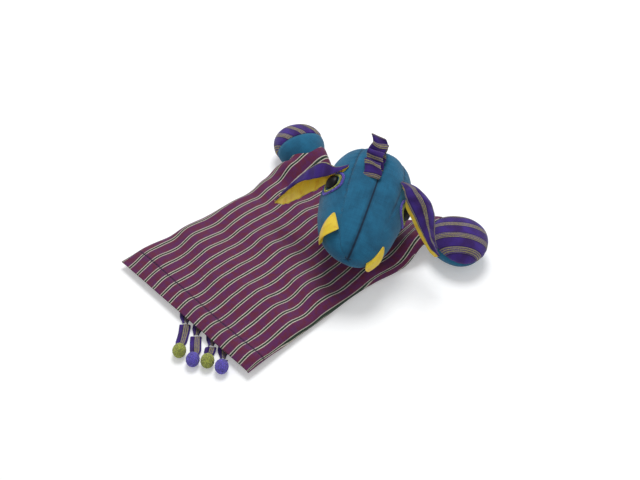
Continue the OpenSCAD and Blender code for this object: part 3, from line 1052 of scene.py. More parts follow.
# ------------------------------------------------------------------- glove
@dataclass
class Glove:
    """The glove's cloth with its sleeves, one continuous striped shell."""
    top_y: float = 72.0
    cloth: float = 0.9
    band: float = 17.0
    rows_side: int = 74
    rows_arm: int = 22
    cols: int = 84
    pitch: float = 47.0
    neck: Vector = field(default_factory=lambda: Vector((MIDDLE, 66, 0)))
    neck_r: float = 13.5
    half: tuple = ((HEM_Y, 85.0), (-75, 82.0), (-10, 79.5), (40, 85.5))
    front: tuple = ((HEM_Y, 10.6), (-60, 12.4), (8, 12.4), (52, 9.0))
    seam: float = 3.6
    arms: tuple = (LEFT_ARM, RIGHT_ARM)

    @property
    def side_part(self) -> float:
        """Share of the rows that lie below the cuffs."""
        return self.rows_side / (self.rows_side + self.rows_arm)

    def mid(self, y: float) -> float:
        """The centre line's lean."""
        return MIDDLE * ease((y - HEM_Y) / 176)

    def edge(self, arm: ArmFrame, t: float) -> Vector:
        """A point of one side edge, from the hem (0) to the cuff (1).

        Args:
            arm: The arm on that side.
            t: Place along the edge.

        Returns:
            The point, in millimetres.
        """
        c = arm.corner(arm.cuff_w)
        ys = [HEM_Y, -110, -80, -50, -20, 5, 24]
        pts = [(self.mid(y) + arm.side * lerp_table(self.half, y), y, 0)
               for y in ys]
        wide = pts[-1][0] + arm.side * (0.5 if arm.side < 0 else 2.5)
        pts.append((mix(wide, c.x, 0.25), mix(24, c.y, 0.55), 0))
        pts.append((c.x, c.y, 0))
        return catmull(pts, t)

    def plan(self, a: float, b: float) -> Vector:
        """The plan place of a grid point.

        Args:
            a: Across, 0 on the left to 1 on the right.
            b: Along, 0 at the hem to 1 at the shoulder seam.

        Returns:
            Its place on the table plane.
        """
        left, right = self.arms
        split = self.side_part
        a = 0.5 + 0.5 * math.sin(math.pi * (a - 0.5) * 0.86) / math.sin(
            math.pi * 0.43)
        if b <= split:
            t = b / split
            lo, hi = self.edge(left, t), self.edge(right, t)
            y = mix(HEM_Y, 50, t)
            m = Vector((self.mid(y), y, 0))
            m.y = mix((lo.y + hi.y) / 2, m.y, ease(t))
        else:
            k = (b - split) / (1 - split)
            lo = left.corner(mix(left.cuff_w, -left.cuff_w, k))
            hi = right.corner(mix(right.cuff_w, -right.cuff_w, k))
            m = Vector((MIDDLE, mix(50, self.top_y, k), 0))
        c = 2 * m - (lo + hi) / 2
        return lo * (1 - a) ** 2 + c * (2 * a * (1 - a)) + hi * a * a

    def outline(self) -> list[tuple[Vector, Vector]]:
        """The closed edges in plan, as segments.

        Returns:
            Pairs of points.
        """
        n = 120
        lines = [[self.plan(s, self.side_part * k / n) for k in range(n + 1)]
                 for s in (0, 1)]
        lines.append([self.plan(k / n, 1) for k in range(n + 1)])
        return [(p, q) for ln in lines for p, q in zip(ln, ln[1:])]

    def inset(self, p: Vector, segs: list) -> float:
        """Distance from a point to the closed edges.

        Args:
            p: The plan point.
            segs: The edges' segments.

        Returns:
            The distance in millimetres.
        """
        best = 1e9
        for s, e in segs:
            d = e - s
            f = clamp((p - s).dot(d) / max(1e-9, d.length_squared))
            best = min(best, (s + d * f - p).length_squared)
        return math.sqrt(best)

    def lift(self, p: Vector) -> tuple[float, ArmFrame]:
        """How far a point belongs to a cuff's round, and to which.

        Args:
            p: The plan point.

        Returns:
            A share from 0 to 1, and the nearer arm.
        """
        best = (0.0, self.arms[0])
        for arm in self.arms:
            r = p - Vector((arm.cuff.x, arm.cuff.y, 0))
            s, w = r.dot(arm.dir), abs(r.dot(arm.perp))
            f = ease((s + 36) / 36) * (1 - ease((w - arm.cuff_w) / 26))
            if f > best[0]:
                best = (f, arm)
        return best

    def folds(self, p: Vector) -> float:
        """Height of the soft ripples that cross the front.

        Args:
            p: The plan point.

        Returns:
            The height in millimetres.
        """
        x, y = p.x, p.y
        shift = 15 * noise.noise(p / 75 + Vector((0, 3, 0)))
        wave = math.sin(2 * math.pi * (y + 0.12 * x + shift) / self.pitch)
        near = (1 - ease((y - 5) / 44)) * ease((y - HEM_Y + 4) / 24)
        amp = 1.7 + 1.5 * noise.noise(p / 45 + Vector((7, 0, 0)))
        fine = ripple(Vector((x, y * 1.7, 0)), 21, 0.9, 3)
        return (amp * wave + fine) * near

    def height(self, p: Vector, d: float, top: bool) -> float:
        """Height of the front or the back over a plan point.

        Args:
            p: The plan point.
            d: Its distance from the closed edges.
            top: Whether it is on the front.

        Returns:
            Its height in millimetres.
        """
        f, arm = self.lift(p)
        y, up = p.y, p.y - HEM_Y
        hem = 1 - ease(up / self.band)
        curl = -3.6 * max(0.0, 1 - up / 15) ** 1.6
        under = 2.9 * ease((-90 - y) / 30) + 0.35
        mid = mix(under + self.seam, arm.paw_t / 2, f)
        r = mix(9.5, arm.cuff_w, f)
        k = max(0.0, 1 - min(d, r) / r)
        round_ = math.sqrt(max(0.0, 1 - k * k))
        if top:
            flat = (lerp_table(self.front, y) + self.folds(p) + curl
                    - under - self.seam)
            crease = 0.7 * math.exp(-((up - self.band) / 1.6) ** 2)
            return mid + round_ * mix(flat - crease, arm.cuff_h, f)
        wave = 0.5 * hem * math.sin(p.x / 17)
        return mid - round_ * mix(self.seam - wave, arm.cuff_h - 0.2, f)

    def sheet(self, top: bool, segs: list) -> bmesh.types.BMesh:
        """Builds the front or the back as a bent grid.

        Args:
            top: Whether it is the front.
            segs: The edges' segments.

        Returns:
            The bmesh.
        """
        def place(a: float, b: float) -> Vector:
            """Place of a grid point."""
            p = self.plan(a, b)
            side = b < self.side_part + 1e-6
            d = 0.0 if (b > 1 - 1e-6 or (side and (a < 1e-6 or a > 1 - 1e-6))
                        ) else self.inset(p, segs)
            z = self.height(p, d, top)
            back = 0.0 if top else 2.6 * ease(d / 6) * ease((-126 - p.y) / 14)
            return Vector((p.x, p.y + back, z))

        def coord(a: float, b: float) -> Vector:
            """Cloth coordinates, with some cloth let in along the sides."""
            p = self.plan(a, b)
            slope = (1 - ease(165 * min(a, 1 - a) / 11)) ** 2
            extra = (3 + 4 * ease((p.y + 20) / 50)) * slope * (
                1 - ease((p.y - 44) / 14))
            p.x += math.copysign(extra, p.x - self.mid(p.y))
            return Vector((p.x, p.y - HEM_Y, 0 if top else 3))

        bm = grid_mesh(self.rows_side + self.rows_arm, self.cols, place,
                       coord)
        if not top:
            bmesh.ops.reverse_faces(bm, faces=bm.faces)
        return bm

    def build(self, fin: Finishes) -> None:
        """Builds the centre and the two shoulders.

        Args:
            fin: The finishes.
        """
        segs = self.outline()
        top, low = self.sheet(True, segs), self.sheet(False, segs)
        hole = [f for f in top.faces
                if (f.calc_center_median().xy - self.neck.xy).length
                < self.neck_r and f.calc_center_median().y < 71]
        bmesh.ops.delete(top, geom=hole, context="FACES")
        mesh = to_mesh(low, "half")
        top.from_mesh(mesh)
        bpy.data.meshes.remove(mesh)
        bmesh.ops.remove_doubles(top, verts=top.verts, dist=0.02)
        whole = finish_mesh(top, "glove_cloth")
        subdivide(whole)
        thicken(whole, self.cloth)
        apply_modifiers(whole)
        self.split(whole, fin)

    def split(self, whole: bpy.types.Object, fin: Finishes) -> None:
        """Cuts the shell near each shoulder, into the centre and the two
        shoulders.

        Args:
            whole: The whole shell, which is removed.
            fin: The finishes.
        """
        bm = bmesh.new()
        bm.from_mesh(whole.data)
        planes = []
        for arm in self.arms:
            n = Vector((arm.side * 0.6, 0.8, 0)).normalized()
            start = arm.shoulder - n * 13
            planes.append((arm, start * MM, n))
            bmesh.ops.bisect_plane(
                bm, geom=bm.verts[:] + bm.edges[:] + bm.faces[:],
                plane_co=start * MM, plane_no=n, dist=1e-6)
        bm.normal_update()
        keep = bm.verts.layers.float_vector.new("normal")
        for v in bm.verts:
            v[keep] = v.normal

        def which(c: Vector) -> int:
            """0 for the centre, 1 and 2 for the left and right shoulder."""
            for k, (arm, s, n) in enumerate(planes):
                if (c - s).dot(n) > 0 and (c.x / MM - MIDDLE) * arm.side > 0:
                    return k + 1
            return 0

        bpy.data.objects.remove(whole)
        pieces = []
        for part, name in enumerate(("glove_cloth", "left_shoulder_cloth",
                                     "right_shoulder_cloth")):
            b = bm.copy()
            b.faces.ensure_lookup_table()
            bmesh.ops.delete(b, geom=[f for f in b.faces if which(
                f.calc_center_median()) != part], context="FACES")
            mesh = to_mesh(b, name)
            mesh.normals_split_custom_set_from_vertices(
                [d.vector for d in mesh.attributes["normal"].data])
            mesh.attributes.remove(mesh.attributes["normal"])
            pieces.append(add_object(name, mesh))
        bm.free()
        centre, left, right = pieces
        dress(centre, fin.plum, Slot.PLUM, "glove", "glove_back_panel",
              "glove_front_panel", "hem_facing")
        for obj, (arm, start, n) in zip((left, right), planes):
            dress(obj, fin.plum, Slot.PLUM, None, arm.name + "_sleeve")
            arm.name + "_arm"
            start + n * 26 * MM
            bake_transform(obj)
            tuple(start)


# -------------------------------------------------------------------- paws
@dataclass
class Paw:
    """A stuffed paw of two sewn panels."""
    arm: ArmFrame
    stripe_angle: float
    tilt: float
    bank: float = 0.0
    skin: float = 1.0

    def turned(self, t: float, g: float) -> tuple[float, float]:
        """Turns a panel's own angles into the paw's.

        Args:
            t: Angle from one end of the panel's seam to the other.
            g: Angle round the paw from the seam.

        Returns:
            The paw's phi and a.
        """
        a = g - self.tilt
        u = Vector((sind(t) * cosd(a), cosd(t), sind(t) * sind(a)))
        u = Matrix.Rotation(math.radians(self.bank), 3, "X") @ u
        return (math.degrees(math.acos(clamp(u.y, -1))),
                math.degrees(math.atan2(u.z, u.x)))

    def point(self, phi: float, a: float) -> Vector:
        """A point of the paw; phi from side to side, a round its length.

        Args:
            phi: Angle from one side to the other, in degrees.
            a: Angle round its length, in degrees.

        Returns:
            The point, in millimetres.
        """
        arm = self.arm
        s, w, h = arm.paw_len / 2, arm.paw_w / 2, arm.paw_t / 2
        r = spow(sind(phi), 0.9)
        u = s * r * cosd(a)
        q = Vector((u, w * (1 + 0.12 * u / s) * cosd(phi), h * r * sind(a)))
        q += q.normalized() * ripple(q, 16, 0.5, 5 + arm.side)
        x = arm.dir
        y = Vector((-x.y, x.x, 0))
        p = arm.centre + x * q.x + y * q.y + Vector((0, 0, q.z))
        p.z = max(p.z, 0.15 + 0.1 * abs(q.x) / 27)
        return p

    def sewn(self, t: float, g: float, top: bool) -> Vector:
        """A point of a panel, pulled in at the seam.

        Args:
            t: Angle from one end of the seam to the other.
            g: Angle from the seam, over this panel.
            top: Whether the panel is the banded one.

        Returns:
            The point in the frame.
        """
        p = self.point(*self.turned(t, g if top else 180 + g))
        off = min(g, 180 - g) * sind(t)
        pull = 0.9 * math.exp(-(off / 4.5) ** 2)
        if top:
            pull -= 0.25 * math.exp(-(off / 20) ** 2) * math.sin(t * 0.42)
        p += (self.arm.centre - p).normalized() * pull
        p.z = max(p.z, 0.2)
        return p

    def coord(self, t: float, g: float) -> Vector:
        """Cloth coordinates, with the bands along a plan direction.

        Args:
            t: Angle from one end of the seam to the other.
            g: Angle round the paw from the seam.

        Returns:
            Cloth coordinates in millimetres.
        """
        p = self.point(*self.turned(t, g))
        d = Vector((cosd(self.stripe_angle), sind(self.stripe_angle), 0))
        n = Vector((-d.y, d.x, 0))
        r = p - self.arm.centre
        return Vector((r.dot(n) + r.z * 0.25, r.dot(d) - r.z * 0.2, 0))

    def build(self, fin: Finishes) -> None:
        """Builds the striped top and the teal underside.

        Args:
            fin: The finishes.
        """
        name = self.arm.name
        for part, top, mat, slot, nodes in (
                ("paw_top_cloth", True, fin.band, Slot.STRIPE,
                 (name + "_paw_top",)),
                ("paw_underside_cloth", False, fin.teal, Slot.TEAL,
                 (name + "_paw_underside", name + "_paw_stuffing"))):
            def place(u: float, v: float, top: bool = top) -> Vector:
                """Place of a grid point."""
                return self.sewn(0.4 + 179.2 * v, 180 * u, top)

            def coord(u: float, v: float, top: bool = top) -> Vector:
                """Cloth coordinates of a grid point."""
                return self.coord(0.4 + 179.2 * v,
                                  180 * u if top else 180 + 180 * u)

            bm = grid_mesh(56, 44, place, coord)
            seam = bm.verts.layers.float.new(Weave.SEAM)
            for v in bm.verts:
                v[seam] = 30.0
            bmesh.ops.recalc_face_normals(bm, faces=bm.faces)
            obj = finish_mesh(bm, name + "_" + part)
            inward = sum((p.center - self.arm.centre * MM).dot(p.normal)
                         for p in obj.data.polygons)
            if inward < 0:
                obj.data.flip_normals()
            sew(obj, self.skin)
            dress(obj, mat, slot, name + "_paw", *nodes)


# -------------------------------------------------------------------- head
@dataclass
class HeadForm:
    """The head's stuffed form and how it lies."""
    length: float = 113.0
    width: float = 72.5
    height: float = 65.4
    wk: float = 0.15
    hk: float = 0.43
    yaw: float = 32.6
    pitch: float = 3.7
    roll: float = 19.8
    centre: Vector = field(default_factory=lambda: Vector((48, 22, 52)))
    seams: tuple = (-25.0, 56.0, 90.0, 124.0, 205.0)
    pocket_phi: float = 50.0
    pocket_lean: float = 30.0
    pocket_r: float = 11.6
    end_e: float = 0.8
    side_e: float = 0.85

    def __post_init__(self) -> None:
        """Works out how the head is turned."""
        self.turn = (Matrix.Rotation(math.radians(self.yaw), 3, "Z")
                     @ Matrix.Rotation(math.radians(self.pitch), 3, "X")
                     @ Matrix.Rotation(math.radians(self.roll), 3, "Y"))
        self.mouth = self.local(self.pocket_phi, 270)
        self.axis = Vector((0, -sind(self.pocket_lean),
                            cosd(self.pocket_lean)))

    def local(self, phi: float, theta: float, cut: float = 0.0) -> Vector:
        """A point of the head in its own axes.

        Args:
            phi: Angle from the snout's end, in degrees.
            theta: Angle round the head, in degrees.
            cut: How far inside the form it lies.

        Returns:
            The point, in millimetres.
        """
        c, r = spow(cosd(phi), self.end_e), spow(sind(phi), self.end_e)
        return Vector((
            (self.width / 2 - cut) * (1 + self.wk * c) * r
            * spow(cosd(theta), self.side_e),
            (self.length / 2 - cut) * c,
            (self.height / 2 - cut) * (1 + self.hk * c) * r
            * spow(sind(theta), self.side_e)))

    def normal(self, phi: float, theta: float) -> Vector:
        """The outward normal in the head's own axes.

        Args:
            phi: Angle from the snout's end, in degrees.
            theta: Angle round the head, in degrees.

        Returns:
            A unit vector.
        """
        return (self.local(phi - 1, theta) - self.local(phi + 1, theta)).cross(
            self.local(phi, theta + 1)
            - self.local(phi, theta - 1)).normalized()

    def world(self, p: Vector) -> Vector:
        """A point of the head's own axes in the frame."""
        return self.turn @ p + self.centre

    def drop(self, p: Vector) -> tuple[Vector, Vector]:
        """Drops a local point on the form.

        Args:
            p: The point, in the head's own axes.

        Returns:
            The place on the surface and its outward normal.
        """
        c = clamp(p.y / (self.length / 2), -0.999, 0.999)
        t = self.theta(p, c)
        phi = math.degrees(math.acos(spow(c, 1 / self.end_e)))
        return self.local(phi, t), self.normal(phi, t)

    def theta(self, p: Vector, c: float) -> float:
        """Angle round the form of a local point at the place c along it.

        Args:
            p: The point.
            c: Its share of half the length.

        Returns:
            The angle in degrees.
        """
        kx = self.width / 2 * (1 + self.wk * c)
        kz = self.height / 2 * (1 + self.hk * c)
        e = 1 / self.side_e
        return math.degrees(math.atan2(spow(p.z / kz, e), spow(p.x / kx, e)))

    def near(self, phi: float, theta: float, d: float, a: float,
             h: float) -> Vector:
        """A point at distance d in direction a from a place, h above it.

        Args:
            phi: Angle from the snout's end, in degrees.
            theta: Angle round the head, in degrees.
            d: Distance along the surface.
            a: Direction along it, in degrees.
            h: Height over it.

        Returns:
            The point in the frame.
        """
        sp = (self.local(phi + 1, theta) - self.local(phi - 1, theta)
              ).length / 2
        st = (self.local(phi, theta + 1) - self.local(phi, theta - 1)
              ).length / 2
        p, t = phi + d * cosd(a) / sp, theta + d * sind(a) / st
        return self.world(self.local(p, t) + h * self.normal(p, t))


@dataclass
class Head:
    """The head's teal cloth, with its seams, and the finger pocket."""
    form: HeadForm
    around: int = 144
    along: int = 96

    def column(self, theta: float) -> float:
        """Moves the columns of the sphere so that some lie on the seams.

        Args:
            theta: The sphere's own angle.

        Returns:
            The angle on the head.
        """
        s = self.form.seams
        knots = [(-25, s[0]), (55, s[1]), (90, s[2]), (125, s[3]),
                 (205, s[4]), (335, 335)]
        t = theta - 360 if theta > 335 else theta
        for (a, x), (b, y) in zip(knots, knots[1:]):
            if t <= b:
                return mix(x, y, (t - a) / (b - a))
        return t

    def seam_off(self, phi: float, theta: float) -> float:
        """Distance to the nearest seam, in millimetres.

        Args:
            phi: Angle from the snout's end, in degrees.
            theta: Angle round the head, in degrees.

        Returns:
            The distance.
        """
        step = (self.form.local(phi, theta + 1)
                - self.form.local(phi, theta - 1)).length / 2
        turn = min(turn_between(theta, s) for s in self.form.seams)
        return turn * max(step, 0.02)

    @staticmethod
    def depth(p: Vector) -> float:
        """How deep the side seams are at a local point, 0 on the snout."""
        return max(1 - ease((-4 - p.y) / 30), 1 - min(1, abs(p.x) / 5))

    def place(self, phi: float, theta: float) -> Vector:
        """A point of the sewn cloth in the frame.

        Args:
            phi: Angle from the snout's end, in degrees.
            theta: The sphere's own angle.

        Returns:
            The point, in millimetres.
        """
        f = self.form
        t = self.column(theta)
        p = f.local(phi, t)
        n = f.normal(clamp(phi, 2, 178), t)
        d = self.seam_off(phi, t)
        deep = self.depth(p)
        pull = deep * (0.6 * math.exp(-(d / 1.1) ** 2)
                       + 0.6 * math.exp(-(d / 6) ** 2))
        pucker = deep * 0.22 * math.exp(-(d / 5) ** 2) * math.sin(p.y * 1.15)
        puff = ripple(p, 22, 0.9, 2) + ripple(p, 9, 0.25, 4)
        return f.world(p + n * (puff - pull + pucker + 0.35))

    def coord(self, phi: float, theta: float) -> Vector:
        """Cloth coordinates, along each panel.

        Args:
            phi: Angle from the snout's end, in degrees.
            theta: The sphere's own angle.

        Returns:
            Cloth coordinates in millimetres.
        """
        t = self.column(theta)
        p = self.form.local(phi, t)
        upright = -25 < t < 56 or 124 < t < 205
        return Vector((p.z if upright else p.x, p.y, 0))

    def build(self, fin: Finishes) -> None:
        """Builds the head's cloth, with an opening for the finger pocket.

        Args:
            fin: The finishes.
        """
        f = self.form
        bm = sphere_mesh(self.around, self.along, self.place, self.coord)
        seam = bm.verts.layers.float.new(Weave.SEAM)
        back = f.turn.inverted()
        gone = []
        for v in bm.verts:
            p = back @ (v.co - f.centre)
            sides = self.side_seam(p)
            if abs(p.x) > 3:
                sides += 6 * ease((-4 - p.y) / 24) + 0.25
            v[seam] = min(abs(p.x) if p.z > 0 and p.y < 40 else 99.0, sides)
            r = p - f.mouth
            if (r - f.axis * r.dot(f.axis)
                    ).length < f.pocket_r - 1 and p.z < 0:
                gone.append(v)
        bmesh.ops.delete(bm, geom=gone, context="VERTS")
        rim = {v for e in bm.edges if e.is_boundary for v in e.verts}
        for v in rim:
            p = back @ (v.co - f.centre)
            r = p - f.mouth
            flat = r - f.axis * r.dot(f.axis)
            p += flat.normalized() * (f.pocket_r - flat.length)
            v.co = f.world(p)
        obj = sew(finish_mesh(bm, "head_cloth", recalc=True), 1.2)
        dress(obj, fin.teal, Slot.TEAL, "head", "head_left_crown",
              "head_right_crown", "head_left_cheek", "head_right_cheek",
              "head_chin", "head_stuffing")

    def side_seam(self, p: Vector) -> float:
        """Distance of a local point to the side and chin seams.

        Args:
            p: The point.

        Returns:
            The distance in millimetres.
        """
        f = self.form
        t = f.theta(p, p.y / (f.length / 2))
        r = Vector((p.x, 0, p.z)).length
        return min(turn_between(t, s) for s in f.seams) * math.pi / 180 * r


# -------------------------------------------------------------------- face
@dataclass
class Face:
    """The eyes, nostrils and comb."""
    form: HeadForm
    eye_phi: float = 89.0
    eye_theta: float = 26.0
    inner: tuple = (7.7, 9.7)
    outer: tuple = (10.6, 12.6)
    corners: dict = field(default_factory=lambda: {
        -1: ((115.5, 138.5), (137.2, 194.0), (132.5, 126.0)),
        1: ((127.0, 33.0), (155.3, 8.0), (135.5, -12.0))})
    comb_w: float = 15.0
    comb_x: float = -7.0
    comb_y: float = 8.0
    pleats: int = 4
    pleat: float = 9.0
    comb_h: float = 13.5

    def theta(self, side: int) -> float:
        """The eyes' angle round the head."""
        return 180 - self.eye_theta if side < 0 else self.eye_theta

    def ring(self, side: int, radii: tuple, name: str, mat: bpy.types.Material,
             slot: Slot, node: str, loops: int) -> None:
        """Builds a ring of crochet: loops over a core, twisted round it.

        Args:
            side: -1 for the left eye, 1 for the right one.
            radii: Its inner and outer radius.
            name: The piece's name.
            mat: Its finish.
            slot: Its slot.
            node: The node that it stands for.
            loops: How many loops go round it.
        """
        f, t = self.form, self.theta(side)
        mid, amp = sum(radii) / 2, (radii[1] - radii[0]) / 2
        strands = []
        for k in range(3):
            pts = []
            n = loops * 12
            for i in range(n):
                a = 360 * i / n
                b = a * loops + 120 * k
                pts.append(f.near(self.eye_phi, t, mid + 0.72 * amp * cosd(b),
                                  a, 0.95 + 0.55 * sind(b)))
            strands.append(loop_of_yarn(pts, 0.52, f"{name}_{k}"))
        dress(join(strands, name), mat, slot, "head", node)

    def nostril(self, side: int, fin: Finishes) -> None:
        """Builds a folded cone of satin that opens towards the snout.

        Args:
            side: -1 for the left one, 1 for the right one.
            fin: The finishes.
        """
        f = self.form
        tip, low, wide = [f.local(*c) for c in self.corners[side]]

        def place(a: float, b: float) -> Vector:
            """Place of a grid point; b runs from the tip to the mouth."""
            g = 360 * a
            span = 0.06 + 0.94 * b ** 0.9
            end = (low + wide) / 2
            c = tip.lerp(end, b)
            e = (wide - low) / 2 * span
            lip = (end - tip).normalized() * 4.5 * b * b * max(0.0, sind(g))
            p, n = f.drop(c + e * cosd(g) + lip)
            arch = 0.8 + (4.6 + 0.5 * math.sin(5 * g * math.pi / 180)) * b
            h = arch * spow(max(0.0, sind(g)), 0.75)
            h += 0.3 * math.sin(9 * b + g / 25) * b
            fold = 0.6 * b * b * sind(g) * cosd(2 * g)
            return f.world(p + n * (max(0.35, h + 0.35 + fold)))

        bm = grid_mesh(22, 40, place,
                       lambda a, b: Vector((a * 34, b * 20, side)))
        bmesh.ops.remove_doubles(bm, verts=bm.verts, dist=0.01)
        name = side_name(side) + "_nostril"
        obj = sew(finish_mesh(bm, name + "_cloth", recalc=True), 0.45, 0)
        dress(obj, fin.satin, Slot.SATIN, "head", name)

    def head_top(self, y: float) -> float:
        """Height of the head's top line.

        Args:
            y: Place along the head.

        Returns:
            The height in millimetres.
        """
        f = self.form
        c = y / (f.length / 2)
        q = spow(c, 1 / f.end_e)
        return f.height / 2 * (1 + f.hk * c) * (1 - q * q) ** (f.end_e / 2)

    def comb(self, fin: Finishes) -> None:
        """Builds the pleated strip along the centre seam.

        Args:
            fin: The finishes.
        """
        f = self.form
        path = []
        for k in range(self.pleats):
            y = self.comb_y + self.pleat * k
            up = mix(5.5, self.comb_h, k / (self.pleats - 1))
            path += [(y, 0.4), (y + 4.5, 0.55 * up), (y + 9.5, up),
                     (y + 12.5, 0.86 * up), (y + 10.5, 0.35 * up)]
        path.append((self.comb_y + self.pleat * self.pleats + 1, 0.4))
        pts = [Vector((0, y, self.head_top(min(y, 50)) + h))
               for y, h in path]
        step = 60
        line = [catmull(pts, k / (step * 2)) for k in range(step * 2 + 1)]
        lens = [0.0]
        for p, q in zip(line, line[1:]):
            lens.append(lens[-1] + (q - p).length)

        def at(b: float) -> tuple[Vector, float]:
            """A point of the strip's line, and its length up to there."""
            x = min(len(line) - 1.001, b * (len(line) - 1))
            k = int(x)
            return line[k].lerp(line[k + 1], x - k), mix(
                lens[k], lens[k + 1], x - k)

        def place(a: float, b: float) -> Vector:
            """Place of a grid point."""
            p, s = at(b)
            h = p.z - self.head_top(min(p.y, 50))
            v = a - 0.5
            x = (self.comb_x + v * (self.comb_w - 0.02 * s) - 0.25 * h
                 + 1.6 * math.sin(s * 0.34))
            drop = 0.02 * x * x * (1 - ease(h / 9))
            y = p.y + 0.9 * math.sin(s * 0.31 + 4 * v) * ease(h / 6)
            z = p.z - drop + 0.7 * math.sin(s * 0.2 + 5 * v) * ease(h / 6)
            return f.world(Vector((x, y, z + 0.5)))

        bm = grid_mesh(step * 2, 12, place, lambda a, b: Vector(
            (at(b)[1] + 3.2, a * self.comb_w, 0)))
        obj = sew(finish_mesh(bm, "comb_cloth", recalc=True), 1.0, 0)
        dress(obj, fin.pleats, Slot.STRIPE, "head", "comb_strip")

    def build(self, fin: Finishes) -> None:
        """Builds both eyes, both nostrils and the comb.

        Args:
            fin: The finishes.
        """
        for side, name in ((-1, "left"), (1, "right")):
            self.ring(side, self.inner, name + "_eye_inner_crochet",
                      fin.olive, Slot.OLIVE, name + "_eye_inner_ring", 13)
            self.ring(side, self.outer, name + "_eye_outer_crochet",
                      fin.violet, Slot.VIOLET, name + "_eye_outer_ring", 18)
            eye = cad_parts[name + "_eye_button"]
            eye.data.materials.clear()
            eye.data.materials.append(fin.button)
            self.nostril(side, fin)
        self.comb(fin)


# -------------------------------------------------------------------- ears
@dataclass
class Ear:
    """A long drooping ear of striped cloth, lined with satin.

    The ear is a curled leaf. Each section runs through four points, from
    one rim round the outer face to the other rim, and the sections run from
    the pinched root to the tip.
    """
    side: int
    sections: list
    lip: float = 0.0
    outer_t: float = 1.0
    lining_t: float = 0.7
    band_shift: float = 3.1

    @classmethod
    def left(cls) -> "Ear":
        """The ear whose satin trough faces the front.

        Returns:
            The ear.
        """
        low = [(29, 22, 88), (24, 11.5, 80), (18, 7.5, 73), (11, 1, 65),
               (3, -3.5, 57), (-6.5, -8, 47), (-17, -10, 38),
               (-29.5, -8.5, 30)]
        top = [(28.5, 25, 90), (22.5, 15.5, 89), (11.5, 12, 90),
               (2.5, 6.5, 82), (-4, 3, 73), (-12.5, -4, 60),
               (-22, -5.5, 46), (-30, -8.5, 32)]
        rim = [(29.5, 23, 90), (24.5, 11.5, 86), (16.5, 5, 81), (7, 1, 75),
               (-2.5, -2, 68), (-12.5, -4.5, 56), (-22, -6, 43),
               (-30, -8.5, 31)]
        out = []
        for k, (a, t, b) in enumerate(zip(low, top, rim)):
            a, t, b = Vector(a), Vector(t), Vector(b)
            deep = 9 * sind(180 * (k / 7) ** 0.8)
            back = a.lerp(t, 0.45) + Vector((-0.62, 0.62, -0.2)) * deep
            out.append((a, back, t, b))
        return cls(-1, out)

    @classmethod
    def right(cls) -> "Ear":
        """The ear whose striped face is turned to the front.

        Returns:
            The ear.
        """
        rim = [(64.3, 51.4, 76.9), (73, 46.5, 78), (78, 43, 74.5),
               (83.5, 41.5, 70), (93.5, 39.5, 63), (103, 37.5, 56),
               (113.5, 36, 48), (118.5, 37.5, 43), (121, 40.5, 38)]
        far = [(64.6, 52.6, 77.3), (77, 51.5, 81.5), (85.5, 50, 81.5),
               (94, 49, 77), (100.5, 46.5, 70), (105.5, 43, 61),
               (112, 39.5, 53), (117.5, 39, 46), (121, 40.5, 39)]
        out = []
        for k, (a, b) in enumerate(zip(rim, far)):
            a, b = Vector(a), Vector(b)
            wide = sind(180 * (k / 8) ** 0.8)
            mid = (a + b) / 2 + Vector((0.35, -0.3, 0.7)) * 3.0 * wide
            under = b + Vector((3.0, 5.0, -5.0)) * wide
            out.append((a, mid, b, under))
        return cls(1, out, lip=4.5, band_shift=5.5)

    def point(self, a: float, b: float) -> Vector:
        """A point of the sheet between the outer cloth and the lining.

        Args:
            a: Across, from one rim to the other; below 0 is the lip.
            b: Along, from the root to the tip.

        Returns:
            The point, in millimetres.
        """
        across = [catmull([s[k] for s in self.sections], b)
                  for k in range(4)]
        p = catmull(across, max(0.0, a))
        if a < 0:
            reach = self.lip * clamp((b - 0.26) / 0.12) * ease(
                (1 - b) / 0.12)
            way = (across[0] - catmull(across, 0.12)).normalized()
            p = across[0] + way * reach * (-a / 0.2)
        wave = 0.35 * math.sin(b * 31 + a * 4) + 0.25 * math.sin(
            b * 53 - a * 6)
        return p + Vector((0.4, -0.3, 0.8)) * wave * ease(b / 0.2) * (
            1 - ease((b - 0.85) / 0.15))

    def build(self, fin: Finishes) -> None:
        """Builds the outer cloth and the lining.

        Args:
            fin: The finishes.
        """
        name = side_name(self.side)
        for part, way, t, mat, slot in (
                ("ear_outer", 1, self.outer_t, fin.band, Slot.STRIPE),
                ("ear_lining", -1, self.lining_t, fin.satin, Slot.SATIN)):
            start = 0.0 if way > 0 else -0.2

            def spot(a: float, start: float = start) -> float:
                """Place across the ear, with the lining's lip."""
                return mix(start, 1.0, a)

            bm = grid_mesh(
                72, 18, lambda a, b: self.point(spot(a), b),
                lambda a, b: Vector((spot(a) * 26 + self.band_shift, b * 88,
                                     self.side)))
            bmesh.ops.remove_doubles(bm, verts=bm.verts, dist=0.003)
            bmesh.ops.recalc_face_normals(bm, faces=bm.faces)
            obj = finish_mesh(bm, f"{name}_{part}_cloth")
            mid = (self.point(0.5, 0.5) - (self.point(0.0, 0.5)
                                           + self.point(1.0, 0.5)) / 2)
            near = min(obj.data.polygons, key=lambda p: (
                p.center - self.point(0.5, 0.5) * MM).length)
            if near.normal.dot(mid) * way < 0:
                obj.data.flip_normals()
            sew(obj, t, 1.0)
            dress(obj, mat, slot, name + "_ear", f"{name}_{part}")


